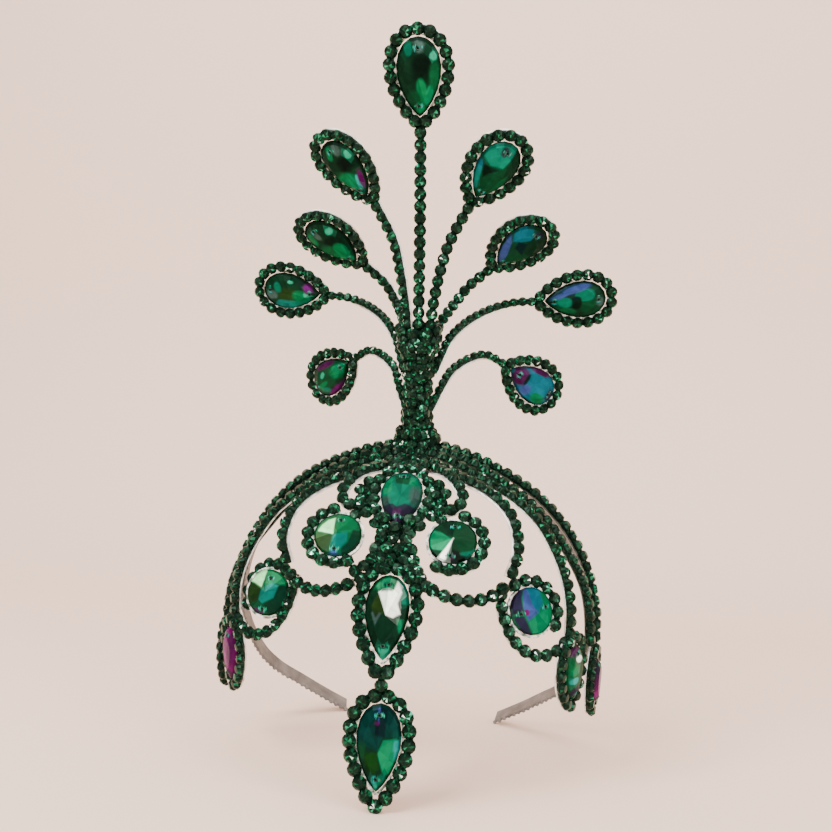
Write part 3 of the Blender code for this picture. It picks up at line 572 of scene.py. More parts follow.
class Seat:
    """Where a main stone stands, and its directions: across it, up from its tip, out of its face.

    An even seat on the left turns as far as the one on the right.
    """

    def __init__(self, kind, left=False, even=False):
        cut, length, width, centre, tip, turns, up, lower = MAIN_STONES[kind]
        side = -1 if left else 1
        turn = math.radians(turns[1] if left and not even else turns[0]) * side
        rise = math.radians(up)
        face = np.array([math.sin(turn) * math.cos(rise), -math.cos(turn) * math.cos(rise), math.sin(rise)])
        self.cut, self.length, self.width = cut, length, width
        self.halves = np.array((width, length)) / 2
        self.centre = np.asarray(centre, float) * (side, 1, 1) - (0, 0, lower if left else 0)
        tip = unit(np.asarray(tip, float) * (side, 1, 1))
        self.out = unit(face - (face @ tip) * tip) if cut == "pear" else face
        self.up = -tip if cut == "pear" else unit(np.array([0, 0, 1.0]) - face[2] * face)
        self.across = np.cross(self.up, self.out)

    def place(self, flat, height=0.0):
        """Points across and up from the stone's centre and a height off it, in the maker's frame."""
        flat = np.asarray(flat, float)
        return self.centre + flat[:, :1] * self.across + flat[:, 1:2] * self.up + height * self.out

    def outline(self, count):
        """Round the stone from its tip, by its right side."""
        turn = np.arange(count) / count * math.tau
        if self.cut == "round":
            return columns(np.sin(turn), -np.cos(turn)) * self.width / 2
        across = np.sin(turn) * np.sin(turn / 2) ** PEAR_FULLNESS
        across *= self.width / 2 / across.max()
        return columns(across, -self.length / 2 * np.cos(turn))

    def ring(self, offset, reach=0.0):
        """A line round a pear at a distance, from below its tip and back, longer there by the reach."""
        outline = self.outline(360)
        ahead = np.roll(outline, -1, axis=0) - outline
        normals = unit(columns(ahead[:, 1], -ahead[:, 0]))
        first = math.atan2(normals[0][1], normals[0][0])
        arc = outline[0] + offset * circle(np.linspace(-math.pi / 2, first, 12, endpoint=False))
        line = np.vstack([arc, outline + normals * offset, arc[::-1] * (-1, 1)])
        quarter = self.length / 4
        line[:, 1] -= reach * np.clip((-quarter - line[:, 1]) / (quarter + offset), 0, 1) ** 2
        return line

    def share(self, flat):
        """How far from the centre to the girdle each point of the face is."""
        corners = self.outline(FACETS)
        sides = np.roll(corners, -1, axis=0) - corners
        edge = np.vstack([corners + sides * t for t in np.linspace(0, 1, 8, endpoint=False)])
        angles = np.arctan2(edge[:, 1], edge[:, 0])
        order = np.argsort(angles)
        lengths = np.linalg.norm(edge, axis=1)[order]
        reach = np.interp(np.arctan2(flat[:, 1], flat[:, 0]), angles[order], lengths, period=math.tau)
        return np.linalg.norm(flat, axis=1) / reach

    def rise(self, share):
        """How high the face is at a share of the way from its centre to the girdle."""
        return np.interp(share, *zip(*RISES[self.cut]))


def new_object(name, mesh):
    """An object in the scene, at the origin, with a mesh, camera or light as its data."""
    made = bpy.data.objects.new(name, mesh)
    bpy.context.scene.collection.objects.link(made)
    return made


def mesh_of(name, bm):
    """The finished shape as a mesh."""
    mesh = bpy.data.meshes.new(name)
    bm.to_mesh(mesh)
    bm.free()
    return mesh


def mesh_at_rest(name, bm, material):
    """The shape turned to where the piece stands, with its faces outwards."""
    bmesh.ops.recalc_face_normals(bm, faces=bm.faces)
    bm.transform(REST)
    mesh = mesh_of(name, bm)
    mesh.materials.append(material)
    return mesh


def quad(low, high, i):
    """The corners at place i of the band between two rings."""
    j = (i + 1) % len(low)
    return low[i], low[j], high[j], high[i]


# Nodes


def socket(group, name):
    """A socket by its place, or the one of that name that is in use."""
    return group[name] if isinstance(name, int) else next(s for s in group if s.name == name and s.enabled)


def feed(tree, made, feeds):
    """Sets a node's inputs to values, or to the sockets or nodes that feed them."""
    for name, value in feeds.items():
        target = socket(made.inputs, name)
        if isinstance(value, bpy.types.Node):
            value = next(s for s in value.outputs if s.enabled)
        if isinstance(value, bpy.types.NodeSocket):
            tree.links.new(value, target)
        else:
            target.default_value = value


def node(tree, kind, feeds=None, **settings):
    """A new node with its settings, and with its inputs fed."""
    made = tree.nodes.new(kind)
    for name, value in settings.items():
        setattr(made, name, value)
    feed(tree, made, feeds or {})
    return made


def times(tree, first, second):
    """One value times the other."""
    return node(tree, "ShaderNodeMath", {0: first, 1: second}, operation="MULTIPLY")


def new_tree(kind, name, inputs, outputs):
    """A node group with its named sockets, and the sockets that give its inputs."""
    tree = bpy.data.node_groups.new(name, kind)
    for way, sockets in (("INPUT", inputs), ("OUTPUT", outputs)):
        for label, what, *default in sockets:
            made = tree.interface.new_socket(name=label, in_out=way, socket_type=f"NodeSocket{what}")
            if default:
                made.default_value = default[0]
    return tree, node(tree, "NodeGroupInput").outputs


# Shader groups


def colour_ramp(tree, value, stops):
    """The colours between the stops, by a value."""
    ramp = node(tree, "ShaderNodeValToRGB", {0: value})
    elements = ramp.color_ramp.elements
    while len(elements) < len(stops):
        elements.new(0.5)
    for element, (position, colour) in zip(elements, stops):
        element.position = position
        element.color = (*colour, 1)
    return ramp


def wear_group():
    """Tarnish and handling marks: a mask, and a height for small dents."""
    tree, given = new_tree(
        "ShaderNodeTree",
        "tarnish",
        (("Scale", "Float", 300.0), ("Amount", "Float", 0.5)),
        (("Mask", "Float"), ("Height", "Float")),
    )
    place = node(tree, "ShaderNodeTexCoord").outputs["Object"]
    broad = node(tree, "ShaderNodeTexNoise", {"Vector": place, "Scale": given["Scale"], "Detail": 6})
    finer = times(tree, given["Scale"], 5.0)
    fine = node(tree, "ShaderNodeTexNoise", {"Vector": place, "Scale": finer, "Detail": 3})
    strong = times(tree, broad, given["Amount"])
    node(tree, "NodeGroupOutput", {"Mask": strong, "Height": fine})
    return tree


def flicker_group():
    """Foil seen through glass: drifting brightness over a facet's own colour."""
    tree, given = new_tree(
        "ShaderNodeTree",
        "foil_flicker",
        (("Colour", "Color", (0, 0.1, 0.05, 1)), ("Scale", "Float", 300.0), ("Depth", "Float", 0.5)),
        (("Colour", "Color"), ("Height", "Float")),
    )
    place = {"Vector": node(tree, "ShaderNodeTexCoord").outputs["Object"], "Scale": given["Scale"]}
    cells = node(tree, "ShaderNodeTexVoronoi", place, feature="F1")
    cloud = node(tree, "ShaderNodeTexNoise", place | {"Detail": 2, "Distortion": 1.2})
    stops = ((0.30, (0.25, 0.3, 0.3)), (0.5, (0.9, 0.95, 0.95)), (0.68, (1.7, 1.6, 1.6)))
    shade = colour_ramp(tree, cloud, stops)
    mix = {"A": given["Colour"], "B": shade, "Factor": given["Depth"]}
    deep = node(tree, "ShaderNodeMix", mix, data_type="RGBA", blend_type="MULTIPLY")
    node(tree, "NodeGroupOutput", {"Colour": deep, "Height": cells})
    return tree


TARNISH = wear_group()
FLICKER = flicker_group()


# Finishes


def finish(name, **values):
    """A new material with its tree and shader, whose inputs are named with _ for each space."""
    made = bpy.data.materials.new(name)
    made.use_nodes = True
    shader = made.node_tree.nodes["Principled BSDF"]
    feed(made.node_tree, shader, {label.replace("_", " "): value for label, value in values.items()})
    return made, made.node_tree, shader


def raise_surface(tree, shader, height, distance, strength):
    """Small dents, up to a distance deep, that follow the height."""
    bump = node(tree, "ShaderNodeBump", {"Height": height, "Distance": distance, "Strength": strength})
    feed(tree, shader, {"Normal": bump})


def worn_finish(name, stops, marks, dents, **values):
    """Metal or glue, coloured by the tarnish. Marks are its scale and amount, dents depth and strength."""
    made, tree, shader = finish(name, **values)
    worn = node(tree, "ShaderNodeGroup", {"Scale": marks[0], "Amount": marks[1]}, node_tree=TARNISH)
    feed(tree, shader, {"Base Color": colour_ramp(tree, worn.outputs["Mask"], stops)})
    raise_surface(tree, shader, worn.outputs["Height"], *dents)
    return made


def strip_finish(name, bright, middle, dark, tint=(1, 1, 1, 1)):
    """Silvery strip, whitened by glue along its edges; the same strip darkened as painted shade; or the dark
    glue between the stones, with painted shade.
    """
    stops = ((0.45, bright), (0.65, middle), (0.85, dark))
    shine = {"Metallic": 0.3, "Roughness": 0.4, "Specular_IOR_Level": 0.1, "Specular_Tint": tint}
    return worn_finish(name, stops, (260.0, 1.1), (0.0002, 0.35), **shine)


def small_stone_finish():
    """Dark green foiled glass: most facets near black, a few that flash."""
    shine = {"Metallic": 0.3, "Roughness": 0.16, "Specular_IOR_Level": 0.12, "Specular_Tint": GREEN_TINT}
    made, tree, shader = finish("small_stone_glass", **shine)
    facet = node(tree, "ShaderNodeAttribute", attribute_name="flash").outputs["Fac"]
    foil = {"Colour": colour_ramp(tree, facet, FLASH_STOPS), "Scale": 520.0, "Depth": 0.5}
    flicker = node(tree, "ShaderNodeGroup", foil, node_tree=FLICKER)
    feed(tree, shader, {"Base Color": flicker.outputs["Colour"]})
    return made


def crystal_finish():
    """The main stones: the foil colours and painted reflections and highlights that their facets carry,
    softly broken up.
    """
    made, tree, shader = finish("cut_crystal_foil_and_highlights", Metallic=0.15, Roughness=0.2, Specular_IOR_Level=0.02)
    facet = node(tree, "ShaderNodeAttribute", attribute_name="flash_colour").outputs["Color"]
    foil = {"Colour": facet, "Scale": 170.0, "Depth": 0.3}
    flicker = node(tree, "ShaderNodeGroup", foil, node_tree=FLICKER)
    feed(tree, shader, {"Base Color": flicker.outputs["Colour"]})
    raise_surface(tree, shader, flicker.outputs["Height"], 0.0002, 0.08)
    return made


def glue_finish():
    """Clear glue with silver and dark green in it."""
    stops = ((0.4, (0.86, 0.86, 0.80)), (0.5, (0.40, 0.46, 0.42)), (0.62, (0.03, 0.06, 0.04)))
    return worn_finish("clear_glue", stops, (520.0, 1.0), (0.0003, 0.5), Roughness=0.3)


def band_finish():
    """The headband's dull grey metal."""
    stops = ((0.35, (0.20, 0.185, 0.175)), (0.5, (0.155, 0.14, 0.13)), (0.68, (0.11, 0.10, 0.095)))
    return worn_finish("grey_band_metal", stops, (190.0, 1.0), (0.0003, 0.4), Metallic=0.35, Roughness=0.45)


SMALL_GLASS = small_stone_finish()
SILVER = strip_finish("silver_strip", (0.95, 0.93, 0.88), (0.70, 0.69, 0.65), (0.30, 0.30, 0.28))
# The silver strip again, darkened as painted shade, for the two back arches
SHADE_PAINTED_STRIP = strip_finish(
    "shade_painted_strip", (0.10, 0.10, 0.08), (0.045, 0.05, 0.04), (0.015, 0.025, 0.018), GREEN_TINT
)
# Dark glue between the stones, darker still as painted shade; also the strip of the trunk and the patches
DARK_GLUE_AND_SHADE = strip_finish(
    "dark_glue_and_painted_shade", (0.01, 0.036, 0.02), (0.003, 0.016, 0.009), (0.0015, 0.008, 0.004), GREEN_TINT
)
CRYSTAL = crystal_finish()
GLUE = glue_finish()
BAND_METAL = band_finish()


# Small stones in rows


def chaton():
    """One small cut stone: faceted table and crown, girdle and foiled back, its own facets marked."""
    bm = bmesh.new()
    shine = bm.faces.layers.float.new("shine")
    rings = []
    for height, scale, shift in STONE_RINGS:
        flat = circle((np.arange(STONE_CORNERS) + shift) / STONE_CORNERS * math.tau) * STONE_WIDTH / 2 * scale
        rings.append([bm.verts.new(Vector((x, y, height)) * MM) for x, y in flat])
    tip = bm.verts.new(Vector((0, 0, STONE_TOP)) * MM)
    back, belly, girdle, table = rings
    foil, lower, edge, upper, bevel, top = STONE_SHINE
    for i in range(STONE_CORNERS):
        _, ahead, table_ahead, _ = quad(girdle, table, i)
        bm.faces.new(quad(back, belly, i))[shine] = lower
        bm.faces.new(quad(belly, girdle, i))[shine] = edge
        bm.faces.new((girdle[i], ahead, table[i]))[shine] = upper
        bm.faces.new((ahead, table_ahead, table[i]))[shine] = bevel
        bm.faces.new((table[i], table_ahead, tip))[shine] = top
    bm.faces.new(back[::-1])[shine] = foil
    return bpy.data.objects.new("chaton", mesh_of("chaton", bm))


def row_tree():
    """Stones on their seats and the strip below them, from a mesh of seats and paths."""
    tree, given = new_tree(
        "GeometryNodeTree",
        "stone_row",
        (
            ("Geometry", "Geometry"),
            ("Stone", "Object"),
            ("Tilt", "Float", STONE_TILT),
            ("Strip Width", "Float", STRIP_WIDTH * MM),
            ("Strip Thickness", "Float", STRIP_THICKNESS * MM),
            ("Strip Drop", "Float", STRIP_DROP * MM),
            ("Core Width", "Float", CORE_WIDTH * MM),
            ("Core Thickness", "Float", CORE_THICKNESS * MM),
            ("Core Drop", "Float", CORE_DROP * MM),
            ("Seed", "Int", 1),
            ("Glass", "Material"),
            ("Strip Metal", "Material"),
            ("Core Glue", "Material"),
        ),
        (("Geometry", "Geometry"),),
    )
    seed = {"Seed": given["Seed"]}

    def stored(name, kind="FLOAT"):
        return node(tree, "GeometryNodeInputNamedAttribute", {"Name": name}, data_type=kind)

    def chance(kind="FLOAT", **limits):
        return node(tree, "FunctionNodeRandomValue", limits | seed, data_type=kind)

    def store(name, domain, shape, value):
        feeds = {"Geometry": shape, "Name": name, "Value": value}
        return node(tree, "GeometryNodeStoreNamedAttribute", feeds, data_type="FLOAT", domain=domain)

    def coated(shape, material):
        return node(tree, "GeometryNodeSetMaterial", {"Geometry": shape, "Material": given[material]})

    seats = {"Geometry": given["Geometry"], "Selection": stored("seat", "BOOLEAN")}
    split = node(tree, "GeometryNodeSeparateGeometry", seats, domain="POINT")
    facing = stored("facing", "FLOAT_VECTOR")

    # Stones, each leaning a little its own way and turned at random
    wobble = chance("FLOAT_VECTOR", Min=(-1, -1, -1), Max=(1, 1, 1))
    spread = node(tree, "ShaderNodeVectorMath", {0: wobble, "Scale": given["Tilt"]}, operation="SCALE")
    leaning = node(tree, "ShaderNodeVectorMath", {0: spread, 1: facing}, operation="ADD")
    stand = node(tree, "FunctionNodeAlignRotationToVector", {"Vector": leaning}, axis="Z")
    turn = node(tree, "ShaderNodeCombineXYZ", {"Z": chance(Max=math.tau)})
    twist = {"Rotation": stand, "Rotate By": turn}
    spun = node(tree, "FunctionNodeRotateRotation", twist, rotation_space="LOCAL")
    source = node(tree, "GeometryNodeObjectInfo", {"Object": given["Stone"]}, transform_space="ORIGINAL")
    points = node(tree, "GeometryNodeMeshToPoints", {"Mesh": split.outputs["Selection"]})
    stones = {"Points": points, "Instance": source.outputs["Geometry"]}
    stones |= {"Rotation": spun, "Scale": stored("size")}
    placed = node(tree, "GeometryNodeInstanceOnPoints", stones)
    glowing = store("glow", "INSTANCE", placed, chance(Min=STONE_GLOW[0], Max=STONE_GLOW[1]))
    real = node(tree, "GeometryNodeRealizeInstances", {"Geometry": glowing})
    flash = chance(ID=node(tree, "GeometryNodeInputIndex"))
    flash = times(tree, times(tree, flash, stored("shine")), stored("glow"))
    both = node(tree, "GeometryNodeJoinGeometry", {0: coated(store("flash", "FACE", real, flash), "Glass")})

    # Silver strip behind, and dark thread and glue between the stones, darkened as painted shade
    curve = node(tree, "GeometryNodeMeshToCurve", {"Mesh": split.outputs["Inverted"]})
    aim = node(tree, "GeometryNodeSetCurveNormal", {"Curve": curve, "Normal": facing}, mode="FREE")
    for part, coat in (("Strip", "Strip Metal"), ("Core", "Core Glue")):
        sizes = {"Width": given[f"{part} Thickness"], "Height": given[f"{part} Width"]}
        profile = node(tree, "GeometryNodeCurvePrimitiveQuadrilateral", sizes)
        down = node(tree, "ShaderNodeCombineXYZ", {"X": times(tree, given[f"{part} Drop"], -1)})
        lowered = node(tree, "GeometryNodeTransform", {"Geometry": profile, "Translation": down})
        sweep = {"Curve": aim, "Profile Curve": lowered, "Fill Caps": True}
        feed(tree, both, {0: coated(node(tree, "GeometryNodeCurveToMesh", sweep), coat)})
    node(tree, "NodeGroupOutput", {"Geometry": both})
    return tree


ROW_TREE = row_tree()
CHATON = chaton()
SEEDS = itertools.count(1)


def line_object(name, points, edges):
    """A mesh of points and edges, for a tree to dress."""
    mesh = bpy.data.meshes.new(name)
    mesh.from_pydata([tuple(p) for p in points], edges, [])
    return new_object(name, mesh)


def dressed(name, holder, tree, values, replaced):
    """What a tree makes of the holder, as a plain mesh piece that stands for CAD nodes."""
    modifier = holder.modifiers.new(tree.name, "NODES")
    modifier.node_group = tree
    for item in tree.interface.items_tree:
        if item.item_type == "SOCKET" and item.in_out == "INPUT" and item.name in values:
            modifier[item.identifier] = values[item.name]
    bpy.context.view_layer.update()
    graph = bpy.context.evaluated_depsgraph_get()
    mesh = bpy.data.meshes.new_from_object(holder.evaluated_get(graph), depsgraph=graph)
    bpy.data.objects.remove(holder)
    made = new_object(name, mesh)
    mesh.name = name
    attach(made, "root")
    if replaced:
        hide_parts(*replaced)
    return made


def stone_row(name, runs, seats, replaced, tilt=STONE_TILT, metal=SILVER, **sizes):
    """Builds one row: runs are (path, facing) for the strip, seats are (places, facing, size).

    Sizes are those of the tree's inputs that differ from its own, such as strip_width.
    """
    points, edges, facing, is_seat, scales = [], [], [], [], []
    for path, ways in runs:
        start = len(points)
        edges += [(start + i, start + i + 1) for i in range(len(path) - 1)]
        points += list(to_world(path))
        facing += list(ways)
        is_seat += [False] * len(path)
        scales += [1.0] * len(path)
    for places, ways, size in seats:
        points += list(to_world(places))
        facing += list(unit(ways))
        is_seat += [True] * len(places)
        scales += [size] * len(places)
    holder = line_object(f"{name}_seats", points, edges)
    facing = np.array(facing) @ np.array(REST.to_3x3()).T
    for label, kind, field, values in (
        ("facing", "FLOAT_VECTOR", "vector", facing.ravel()),
        ("seat", "BOOLEAN", "value", is_seat),
        ("size", "FLOAT", "value", scales),
    ):
        holder.data.attributes.new(label, kind, "POINT").data.foreach_set(field, values)
    values = {"Stone": CHATON, "Tilt": tilt, "Seed": next(SEEDS)}
    values |= {"Glass": SMALL_GLASS, "Strip Metal": metal, "Core Glue": DARK_GLUE_AND_SHADE}
    values |= {label.replace("_", " ").title(): size * MM for label, size in sizes.items()}
    return dressed(name, holder, ROW_TREE, values, replaced)


def facing_along(path, towards):
    """The towards directions, made square to the path."""
    tangents = unit(np.gradient(path, axis=0))
    towards = np.broadcast_to(np.asarray(towards, float), path.shape)
    return unit(towards - (towards * tangents).sum(axis=1, keepdims=True) * tangents)


def seats_along(path, ways, size=1.0, pitch=STONE_PITCH, count=None, closed=False, half=False):
    """Even seats along a path: end to end, or round a closed one from its start or half a pitch on."""
    lengths = distances(path)
    count = count or max(int(round(lengths[-1] / pitch / size)), 1)
    places = (np.arange(count) + (0.5 if half or not closed else 0)) / count * lengths[-1]
    both = picked(np.hstack([path, ways]), lengths, places)
    return both[:, :3], unit(both[:, 3:]), size


def open_row(name, path, towards, replaced, **more):
    """A row with two free ends."""
    ways = facing_along(path, towards)
    return stone_row(name, [(path, ways)], [seats_along(path, ways)], replaced, **more)


def closed_ring(seat, half, count=None, reach=0.0, size=1.0):
    """The strip and the seats of a ring round a pear."""
    line = seat.ring(RING_OFFSET, reach)
    path = seat.place(np.vstack([line, line[:1]]))
    ways = np.tile(seat.out, (len(path), 1))
    return (path, ways), seats_along(path, ways, size, count=count, closed=True, half=half)


def keys_of(kind):
    """The names of a kind's main stones, and whether each is the left one."""
    return [(kind, False)] if kind in CENTRAL else [(f"{kind}_{side}", left) for side, left in SIDES]


SEATS = {key: Seat(kind, left) for kind in MAIN_STONES for key, left in keys_of(kind)}


def rings():
    """The rings of stones round the pears below the fan."""
    for kind in ("crown", "brow", "drop", "side", "ear"):
        for key, _ in keys_of(kind):
            name = key.replace(kind, f"{kind}_ring")
            count = RING_COUNTS.get(key)
            reach, size = (TIP_REACH, COUNTED_SIZE) if count else (0.0, 1.0)
            run, seats = closed_ring(SEATS[key], key == "brow", count, reach, size)
            stone_row(f"{name}_stones", [run], [seats], [name])


def fan():
    """The stems, each with the ring round its pear."""
    for kind in STEMS:
        for key, left in keys_of(kind):
            seat = SEATS[key]
            stem = mirrored(STEMS[kind]) if left else np.asarray(STEMS[kind], float)
            neck = seat.place([(0, -seat.length / 2 - STEM_NECK)])
            path = smooth(np.vstack([stem, neck]))
            # A stem's stones turn towards its pear's own face near the ring
            right_way, left_way, size = STEM_STONES[kind]
            share = np.linspace(0, 1, len(path))[:, None] ** STEM_TURN
            front = unit(unit(left_way if left else right_way) * (1 - share) + seat.out * share)
            ways = facing_along(path, front)
            run, seats = closed_ring(seat, True)
            name = "fan_crest" if kind == "crest" else key
            stone_row(f"{name}_stones", [(path, ways), run], [seats_along(path, ways, size), seats], [name])


def arches():
    """The five rows over the head from side to side."""
    for name, half in ARCHES.items():
        path = over_the_head(half)
        width = WIDE_STRIP if name in ("arch_loop", "arch_scroll") else NARROW_STRIP
        # The two back arches get the strip darkened as painted shade
        metal = SHADE_PAINTED_STRIP if name in ("arch_ear", "arch_back") else SILVER
        open_row(f"{name}_stones", path, path - np.array(HEAD_CENTRE), [name], strip_width=width, metal=metal)


def temples():
    """On each side the loop and spiral at the temple, the scroll's ring and the swag."""
    for side, left in SIDES:
        flip = np.array((-1 if left else 1, 1))
        temple = Seat("temple", left, even=True)
        loop = shortened(smooth(temple.place(np.asarray(TEMPLE_LOOP, float) * flip)), *TEMPLE_LOOP_CUT)
        open_row(f"temple_loop_{side}_stones", loop, temple.out, [f"temple_loop_{side}"])
        coil = circle(np.radians(np.linspace(*SPIRAL_TURN, COIL_POINTS))) * SCROLL_RADIUS * flip
        open_row(f"temple_spiral_{side}_stones", temple.place(coil), temple.out, [f"temple_spiral_{side}"])
        scroll = SEATS[f"scroll_{side}"]
        degrees = np.linspace(*SCROLL_TURN, COIL_POINTS)
        # The scroll opens out towards the arch that it starts from
        lead = np.clip((degrees - SCROLL_LEAD_FROM) / SCROLL_LEAD_OVER, 0, 1) ** 2
        radius = SCROLL_RADIUS + SCROLL_LEAD * lead
        coil = circle(np.radians(degrees)) * radius[:, None] * flip
        open_row(f"scroll_ring_{side}_stones", scroll.place(coil), scroll.out, [f"scroll_ring_{side}"])
        swag = smooth(mirrored(SWAG) if left else SWAG)
        open_row(f"swag_{side}_stones", swag, SEATS["brow"].out, [f"swag_{side}"])


def trunk():
    """Columns of stones round the bundle, close together, with the joins between them dark as painted shade.
    """
    heights, sizes = np.array(TRUNK_SIZES).T
    z = np.linspace(heights[0] + TRUNK_TRIM[0], heights[-1] + TRUNK_TRIM[1], TRUNK_POINTS)
    rng = np.random.default_rng(5)

    def axis(z):
        return columns(0.0, TRUNK_LEAN * np.clip(z, 0, None) / heights[-1], z)

    runs, seats = [], []
    for column in range(TRUNK_COLUMNS):
        turn = math.tau * (column + 0.5) / TRUNK_COLUMNS - math.pi / 2
        out = np.array([math.cos(turn), math.sin(turn), 0])
        radius = np.interp(z, heights, sizes) - TRUNK_STONE_DEPTH
        path = axis(z) + out * radius[:, None]
        ways = facing_along(path, out)
        shift = column % 3 * 2
        places, fronts, size = seats_along(path[shift:], ways[shift:], pitch=TRUNK_PITCH)
        runs.append((path, ways))
        seats.append((places + rng.normal(0, TRUNK_SCATTER, places.shape), fronts, size))
    # More stones where the bundle spreads into the stems, and round its foot
    for height, radius, count, rise in TRUNK_COLLARS:
        turn = math.tau * (np.arange(count) + rng.uniform(0, 1)) / count
        ways = columns(np.cos(turn), np.sin(turn), rise)
        places = ways * (radius, radius * COLLAR_DEPTH, 0) + axis(np.array([height]))
        seats.append((places + rng.normal(0, COLLAR_SCATTER, places.shape), ways, 1.0))
    stone_row(
        "trunk_stones", runs, seats, ["trunk"], tilt=0.35, metal=DARK_GLUE_AND_SHADE, strip_width=4.6, strip_drop=1.2
    )


def clusters():
    """The patches of stones behind and below the crown pear."""
    for name, centre, up, lift, spots in PATCHES:
        rise = math.radians(up)
        out = np.array([0, -math.cos(rise), math.sin(rise)])
        along = np.array([0, math.sin(rise), math.cos(rise)])
        places = np.array([np.array(centre) + (x, 0, 0) + y * along + lift * out for x, y in spots])
        width = max(abs(x) for x, _ in spots)
        path = np.array(centre) + np.linspace(-1, 1, 9)[:, None] * (width, 0, 0)
        seats = (places, np.tile(out, (len(places), 1)), 1.0)
        runs = [(path, np.tile(out, (len(path), 1)))]
        stone_row(f"{name}_stones", runs, [seats], [name], tilt=0.4, metal=DARK_GLUE_AND_SHADE, strip_width=5.6)


def crown_clusters():
    """Stones massed on both sides of the crown pear and below it, down to the brow pear."""
    crown = SEATS["crown"]
    beside = np.array(CROWN_SIDE_SPOTS, float)
    both = np.vstack([beside, beside * (-1, 1)])
    tip = crown.place(CROWN_TIP_SPOTS, CROWN_TIP_HEIGHT)
    places = np.vstack([crown.place(both, CROWN_SIDE_HEIGHT), tip, SWAG_END_SPOTS])
    ways = np.tile(crown.out, (len(places), 1))
    stone_row("crown_side_stones", [], [(places, ways, 1.0)], [], tilt=0.3)


def link():
    """The single stone between the brow pear's ring and the drop's."""
    brow, drop = SEATS["brow"], SEATS["drop"]
    upper = brow.place([(0, -brow.length / 2 - RING_OFFSET - TIP_REACH)])[0]
    lower = drop.place([(0, drop.length / 2 + RING_OFFSET)])[0]
    way = unit(lower - upper)
    path = evenly(np.array([upper + way * LINK_GAP, lower - way * LINK_GAP]), count=6)
    ways = facing_along(path, drop.out)
    seats = [(np.array([(upper + lower) / 2]), ways[:1], 1.0)]
    stone_row("drop_link_stone", [(path, ways)], seats, ["drop_link"], tilt=0.02, strip_width=2.4)


def settings():
    """The thin line of silver and glue round each main stone's girdle."""
    runs = []
    for seat in SEATS.values():
        line = seat.outline(72) * (1 + SETTING_GAP / (seat.width / 2))
        path = seat.place(np.vstack([line, line[:1]]), SETTING_HEIGHT)
        runs.append((path, np.tile(seat.out, (len(path), 1))))
    stone_row("stone_settings", runs, [], [], metal=GLUE, strip_width=0.9, strip_drop=0.0, core_width=0.2)


# Main stones


def within(flat, corners, soft):
    """1 well inside a polygon and 0 well outside it, over a soft edge."""
    start = np.array(corners)
    side = np.roll(start, -1, axis=0) - start
    away = flat[:, None] - start
    share = np.clip((away * side).sum(axis=2) / (side * side).sum(axis=1), 0, 1)
    near = np.linalg.norm(away - share[..., None] * side, axis=2).min(axis=1)
    crossed = (away[..., 1] < 0) != (away[..., 1] < side[:, 1])
    slope = side[:, 0] / np.where(side[:, 1] == 0, 1, side[:, 1])
    odd = (crossed & (away[..., 0] < away[..., 1] * slope)).sum(axis=1) % 2
    return np.clip(0.5 + np.where(odd, near, -near) / soft, 0, 1)


def blot(flat, halves, x, y, wide, high, angle, edge):
    """1 inside a rounded patch and 0 outside it."""
    turn = math.radians(angle)
    away = flat - np.array((x, y)) * halves
    across = away[:, 0] * math.cos(turn) + away[:, 1] * math.sin(turn)
    along = away[:, 1] * math.cos(turn) - away[:, 0] * math.sin(turn)
    far = np.abs(across / wide / halves[0]) ** BLOT_SQUARENESS
    far = (far + np.abs(along / high / halves[1]) ** BLOT_SQUARENESS) ** (1 / BLOT_SQUARENESS)
    cover = np.clip((1 + edge * 0.6 - far) / (1.2 * edge), 0, 1)
    return cover * cover * (3 - 2 * cover)


def shimmer(key, seat, flat):
    """The foil colour and painted reflections at each point of a stone's face, darker as painted shade where
    it faces up to the room's light.
    """
    ground, gleams = SHIMMER[key]
    shade = 1 - SKY_SHADE * max(seat.out[2], 0)
    colour = np.tile(FOIL_AND_HIGHLIGHTS[ground], (len(flat), 1)) * shade
    for letter, *shape in gleams:
        if len(shape) == 1:
            cover = within(flat, np.array(shape[0]) * seat.halves, GLEAM_EDGE)
        else:
            cover = blot(flat, seat.halves, *shape)
        gleam = np.array(FOIL_AND_HIGHLIGHTS[letter]) * (1 if letter in WHITE_HIGHLIGHTS else shade)
        colour = colour * (1 - cover[:, None]) + gleam * cover[:, None]
    return colour


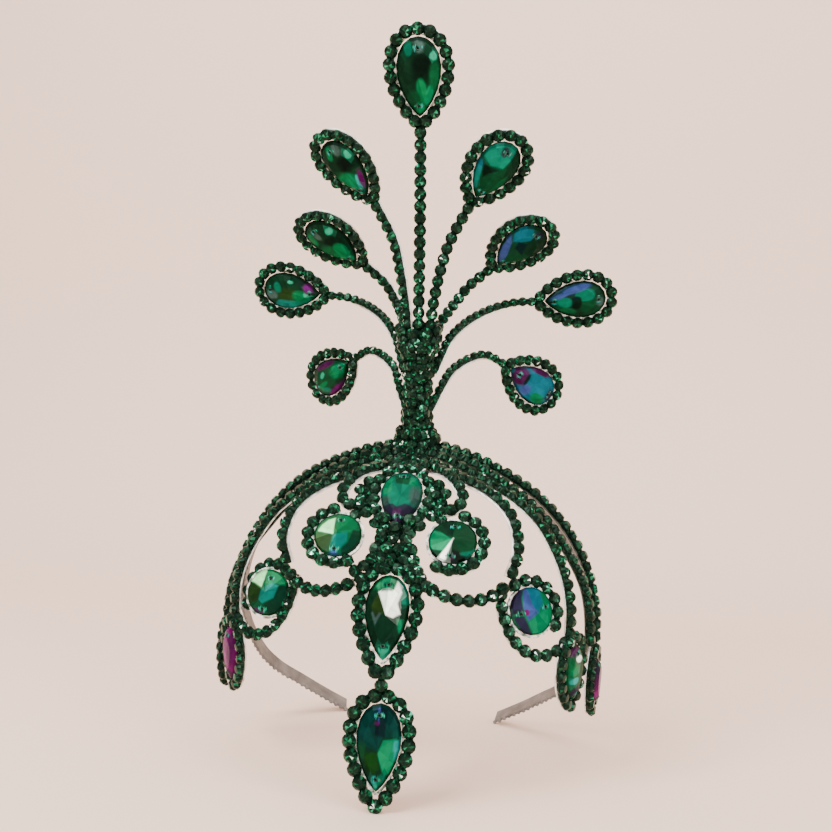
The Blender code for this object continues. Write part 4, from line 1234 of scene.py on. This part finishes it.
class CutStone:
    """A main stone's mesh while it is built, with the foil colours and painted reflections at its corners."""

    def __init__(self, key, seat):
        self.key, self.seat = key, seat
        self.bm = bmesh.new()
        self.layer = self.bm.loops.layers.float_color.new("flash_colour")
        self.rng = np.random.default_rng(len(key) * 7 + ord(key[-2]))
        corners = seat.outline(FACETS)
        steps = np.arange(FACET_STEPS)[:, None] / FACET_STEPS
        self.edge = np.vstack([a + (b - a) * steps for a, b in zip(corners, np.roll(corners, -1, axis=0))])

    def corners_at(self, flat, height):
        return [self.bm.verts.new(Vector(p) * MM) for p in self.seat.place(flat, height)]

    def corners_on_face(self, flat, lift):
        heights = self.seat.rise(self.seat.share(flat)) + lift
        return [self.corners_at([spot], height)[0] for spot, height in zip(flat, heights)]

    def face(self, verts, colours):
        for loop, colour in zip(self.bm.faces.new(verts).loops, colours):
            loop[self.layer] = (*colour, 1)

    def plain(self, verts, letter):
        self.face(verts, [FOIL_AND_HIGHLIGHTS[letter]] * len(verts))

    def facets(self):
        """The facets of the face, each with its own light and partly of one colour. Returns their edge."""
        seat = self.seat
        rings = [self.corners_at(self.edge * s, float(seat.rise(s))) for s in FACE_RINGS]
        colours = np.array([shimmer(self.key, seat, self.edge * s) for s in FACE_RINGS])
        centre = self.corners_at([(0, 0)], float(seat.rise(0)))[0]
        middle = shimmer(self.key, seat, np.zeros((1, 2)))[0]
        steps = np.arange(len(self.edge))
        levels = [(outer + inner) / 2 for outer, inner in zip(FACE_RINGS, FACE_RINGS[1:] + (0,))]
        for low, high, wide, shift, pull, dim in CUT_TIERS[seat.cut]:
            tier = [k for k, level in enumerate(levels) if low <= level < high]
            sectors = (steps + shift) // (FACET_STEPS * wide) % (FACETS // wide)
            for sector in range(FACETS // wide):
                light = self.rng.uniform(*FACET_LIGHT) * dim
                inside = steps[sectors == sector]
                shared = np.array([colours[k][i] for k in tier for i in inside]).mean(axis=0)
                for k, i in itertools.product(tier, inside):
                    if k + 1 < len(rings):
                        verts = quad(rings[k], rings[k + 1], i)
                        own = quad(colours[k], colours[k + 1], i)
                    else:
                        verts = (*quad(rings[k], rings[k], i)[:2], centre)
                        own = (*quad(colours[k], colours[k], i)[:2], middle)
                    self.face(verts, (np.array(own) * (1 - pull) + shared * pull) * light)
        return rings[0]

    def girdle_and_back(self, top):
        """The dark rim below the face's edge, and the foiled back."""
        foot = self.corners_at(self.edge, GIRDLE_FOOT)
        back = self.corners_at(self.edge * BACK_SHARE, BACK_DROP)
        for low, high, letter in ((back, foot, "B"), (foot, top, "K")):
            for i in range(len(self.edge)):
                self.plain(quad(low, high, i), letter)
        self.plain(back[::-1], "S")

    def hole(self, at):
        """A sewing hole with a low rim, and the upright glints that its wall throws beside it."""
        rim = circle(np.arange(HOLE_CORNERS) / HOLE_CORNERS * math.tau)
        outer, top, inner = (self.corners_on_face(at + rim * radius, lift) for radius, lift in HOLE_RIM)
        # The rim's facets are painted reflections, and the hole inside is painted near black as its shade
        for i in range(HOLE_CORNERS):
            self.plain(quad(outer, top, i), "SJKS"[i % 4])
            self.plain(quad(top, inner, i), "SD"[i % 2])
        self.plain(inner, "K")
        letters = BROW_GLINT_LETTERS if self.key == "brow" else GLINT_LETTERS
        for across in GLINTS:
            half = self.rng.uniform(*GLINT_HEIGHT) * (1 - abs(across) / GLINT_REACH)
            middle = at + (across, self.rng.uniform(*GLINT_DRIFT))
            lens = np.array(((-GLINT_WIDTH, 0), (0, -half), (GLINT_WIDTH, 0), (0, half)))
            verts = self.corners_on_face(middle + lens, GLINT_LIFT)
            self.plain(verts, letters[int(self.rng.integers(len(letters)))])


def main_stone(key, seat):
    """A cut stone: faceted face with its shimmer, girdle, foiled back and sewing holes."""
    stone = CutStone(key, seat)
    stone.girdle_and_back(stone.facets())
    for spot in HOLES.get(key, HOLES[seat.cut]):
        stone.hole(np.array(spot) * seat.halves)
    made = new_object(f"cut_{key}", mesh_at_rest(f"cut_{key}", stone.bm, CRYSTAL))
    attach(made, "root")
    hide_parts(f"stone_{key}")


def crystals():
    """All the main stones."""
    for key, seat in SEATS.items():
        main_stone(key, seat)


# Headband


def knob_tree():
    """Small round knobs at an even pitch along a path."""
    tree, given = new_tree(
        "GeometryNodeTree",
        "edge_knobs",
        (
            ("Geometry", "Geometry"),
            ("Pitch", "Float", KNOB_PITCH * MM),
            ("Radius", "Float", KNOB_RADIUS * MM),
            ("Metal", "Material"),
        ),
        (("Geometry", "Geometry"),),
    )
    curve = node(tree, "GeometryNodeMeshToCurve", {"Mesh": given["Geometry"]})
    pitch = {"Curve": curve, "Length": given["Pitch"]}
    spaced = node(tree, "GeometryNodeResampleCurve", pitch, mode="LENGTH")
    knob = node(tree, "GeometryNodeMeshIcoSphere", {"Radius": given["Radius"], "Subdivisions": 2})
    size = node(tree, "FunctionNodeRandomValue", {"Min": 0.75, "Max": 1.1}, data_type="FLOAT")
    knobs = node(tree, "GeometryNodeInstanceOnPoints", {"Points": spaced, "Instance": knob, "Scale": size})
    real = node(tree, "GeometryNodeRealizeInstances", {"Geometry": knobs})
    metal = node(tree, "GeometryNodeSetMaterial", {"Geometry": real, "Material": given["Metal"]})
    node(tree, "NodeGroupOutput", {"Geometry": metal})
    return tree


def headband():
    """The flat strip round the head, and the knobs along its front edge."""
    path = evenly(over_the_head(HEADBAND), step=BAND_STEP)
    tangents = unit(np.gradient(path, axis=0))
    wide = unit(np.array([0, 1.0, 0]) - tangents[:, 1:2] * tangents)
    out = np.cross(tangents, wide)
    front, rear, t = KNOB_ROOM - BAND_WIDTH / 2, BAND_WIDTH / 2, BAND_THICKNESS / 2
    profile = [(front, -t / 2), (front + BAND_BEVEL, -t), (rear - BAND_BEVEL, -t), (rear, -t / 2)]
    profile += [(a, -b) for a, b in profile[::-1]]
    bm = bmesh.new()
    rings = []
    for i, point in enumerate(path):
        rings.append([bm.verts.new(Vector(point + wide[i] * a + out[i] * b) * MM) for a, b in profile])
    for low, high in zip(rings, rings[1:]):
        for k in range(len(profile)):
            bm.faces.new(quad(low, high, k))
    bm.faces.new(rings[0][::-1])
    bm.faces.new(rings[-1])
    made = new_object("band_strip", mesh_at_rest("band_strip", bm, BAND_METAL))
    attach(made, "root")
    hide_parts("headband")
    edges = [(i, i + 1) for i in range(len(path) - 1)]
    holder = line_object("knob_line", to_world(path + wide * (front + KNOB_INSET)), edges)
    dressed("band_knobs", holder, knob_tree(), {"Metal": BAND_METAL}, [])


# Camera, light and floor


def camera():
    """The photograph's own view of the piece."""
    forward = Vector(VIEW_WAY).normalized()
    right = forward.cross(Vector((0, 0, 1))).normalized()
    turn = Matrix((right, right.cross(forward), -forward)).transposed().to_4x4()
    data = bpy.data.cameras.new("camera")
    data.sensor_width = SENSOR_WIDTH
    data.lens = SENSOR_WIDTH * FOCAL_PIXELS / PHOTO_PIXELS
    data.clip_start = 0.01
    made = new_object("camera", data)
    made.matrix_world = REST @ Matrix.Translation(Vector(VIEW_PLACE) * MM) @ turn
    bpy.context.scene.camera = made


def area_light(name, place, size, power, colour):
    """A soft rectangular light that points at the piece."""
    data = bpy.data.lights.new(name, "AREA")
    data.shape = "RECTANGLE"
    data.size, data.size_y = size
    data.energy = power
    data.color = colour
    made = new_object(name, data)
    made.location = place
    made.rotation_euler = (Vector(LIGHT_AIM) - Vector(place)).to_track_quat("-Z", "Y").to_euler()


def studio():
    """A pale floor that curves up behind, soft lights and a pale room."""
    pale = {"Base_Color": (0.84, 0.64, 0.52, 1), "Roughness": 0.9, "Specular_IOR_Level": 0.1}
    paper, _, _ = finish("pale_paper", **pale)
    bend = np.linspace(0.1, math.pi / 2, 14)
    profile = [(FLOOR_FRONT, 0), (FLOOR_BACK, 0)]
    profile += [(FLOOR_BACK + FLOOR_BEND * math.sin(a), FLOOR_BEND * (1 - math.cos(a))) for a in bend]
    profile.append((FLOOR_BACK + FLOOR_BEND, WALL_TOP))
    bm = bmesh.new()
    rows = [[bm.verts.new((x, y, z)) for x in (-FLOOR_HALF, FLOOR_HALF)] for y, z in profile]
    for low, high in zip(rows, rows[1:]):
        bm.faces.new(quad(low, high, 0))
    mesh = mesh_of("floor", bm)
    for face in mesh.polygons:
        face.use_smooth = True
    mesh.materials.append(paper)
    new_object("floor", mesh)
    for light in LIGHTS:
        area_light(*light)
    world = bpy.data.worlds.new("room")
    world.use_nodes = True
    room = world.node_tree.nodes["Background"].inputs
    room["Color"].default_value = (0.9, 0.85, 0.82, 1)
    room["Strength"].default_value = 0.5
    bpy.context.scene.world = world


rings()
fan()
arches()
temples()
trunk()
clusters()
crown_clusters()
link()
settings()
crystals()
headband()
camera()
studio()
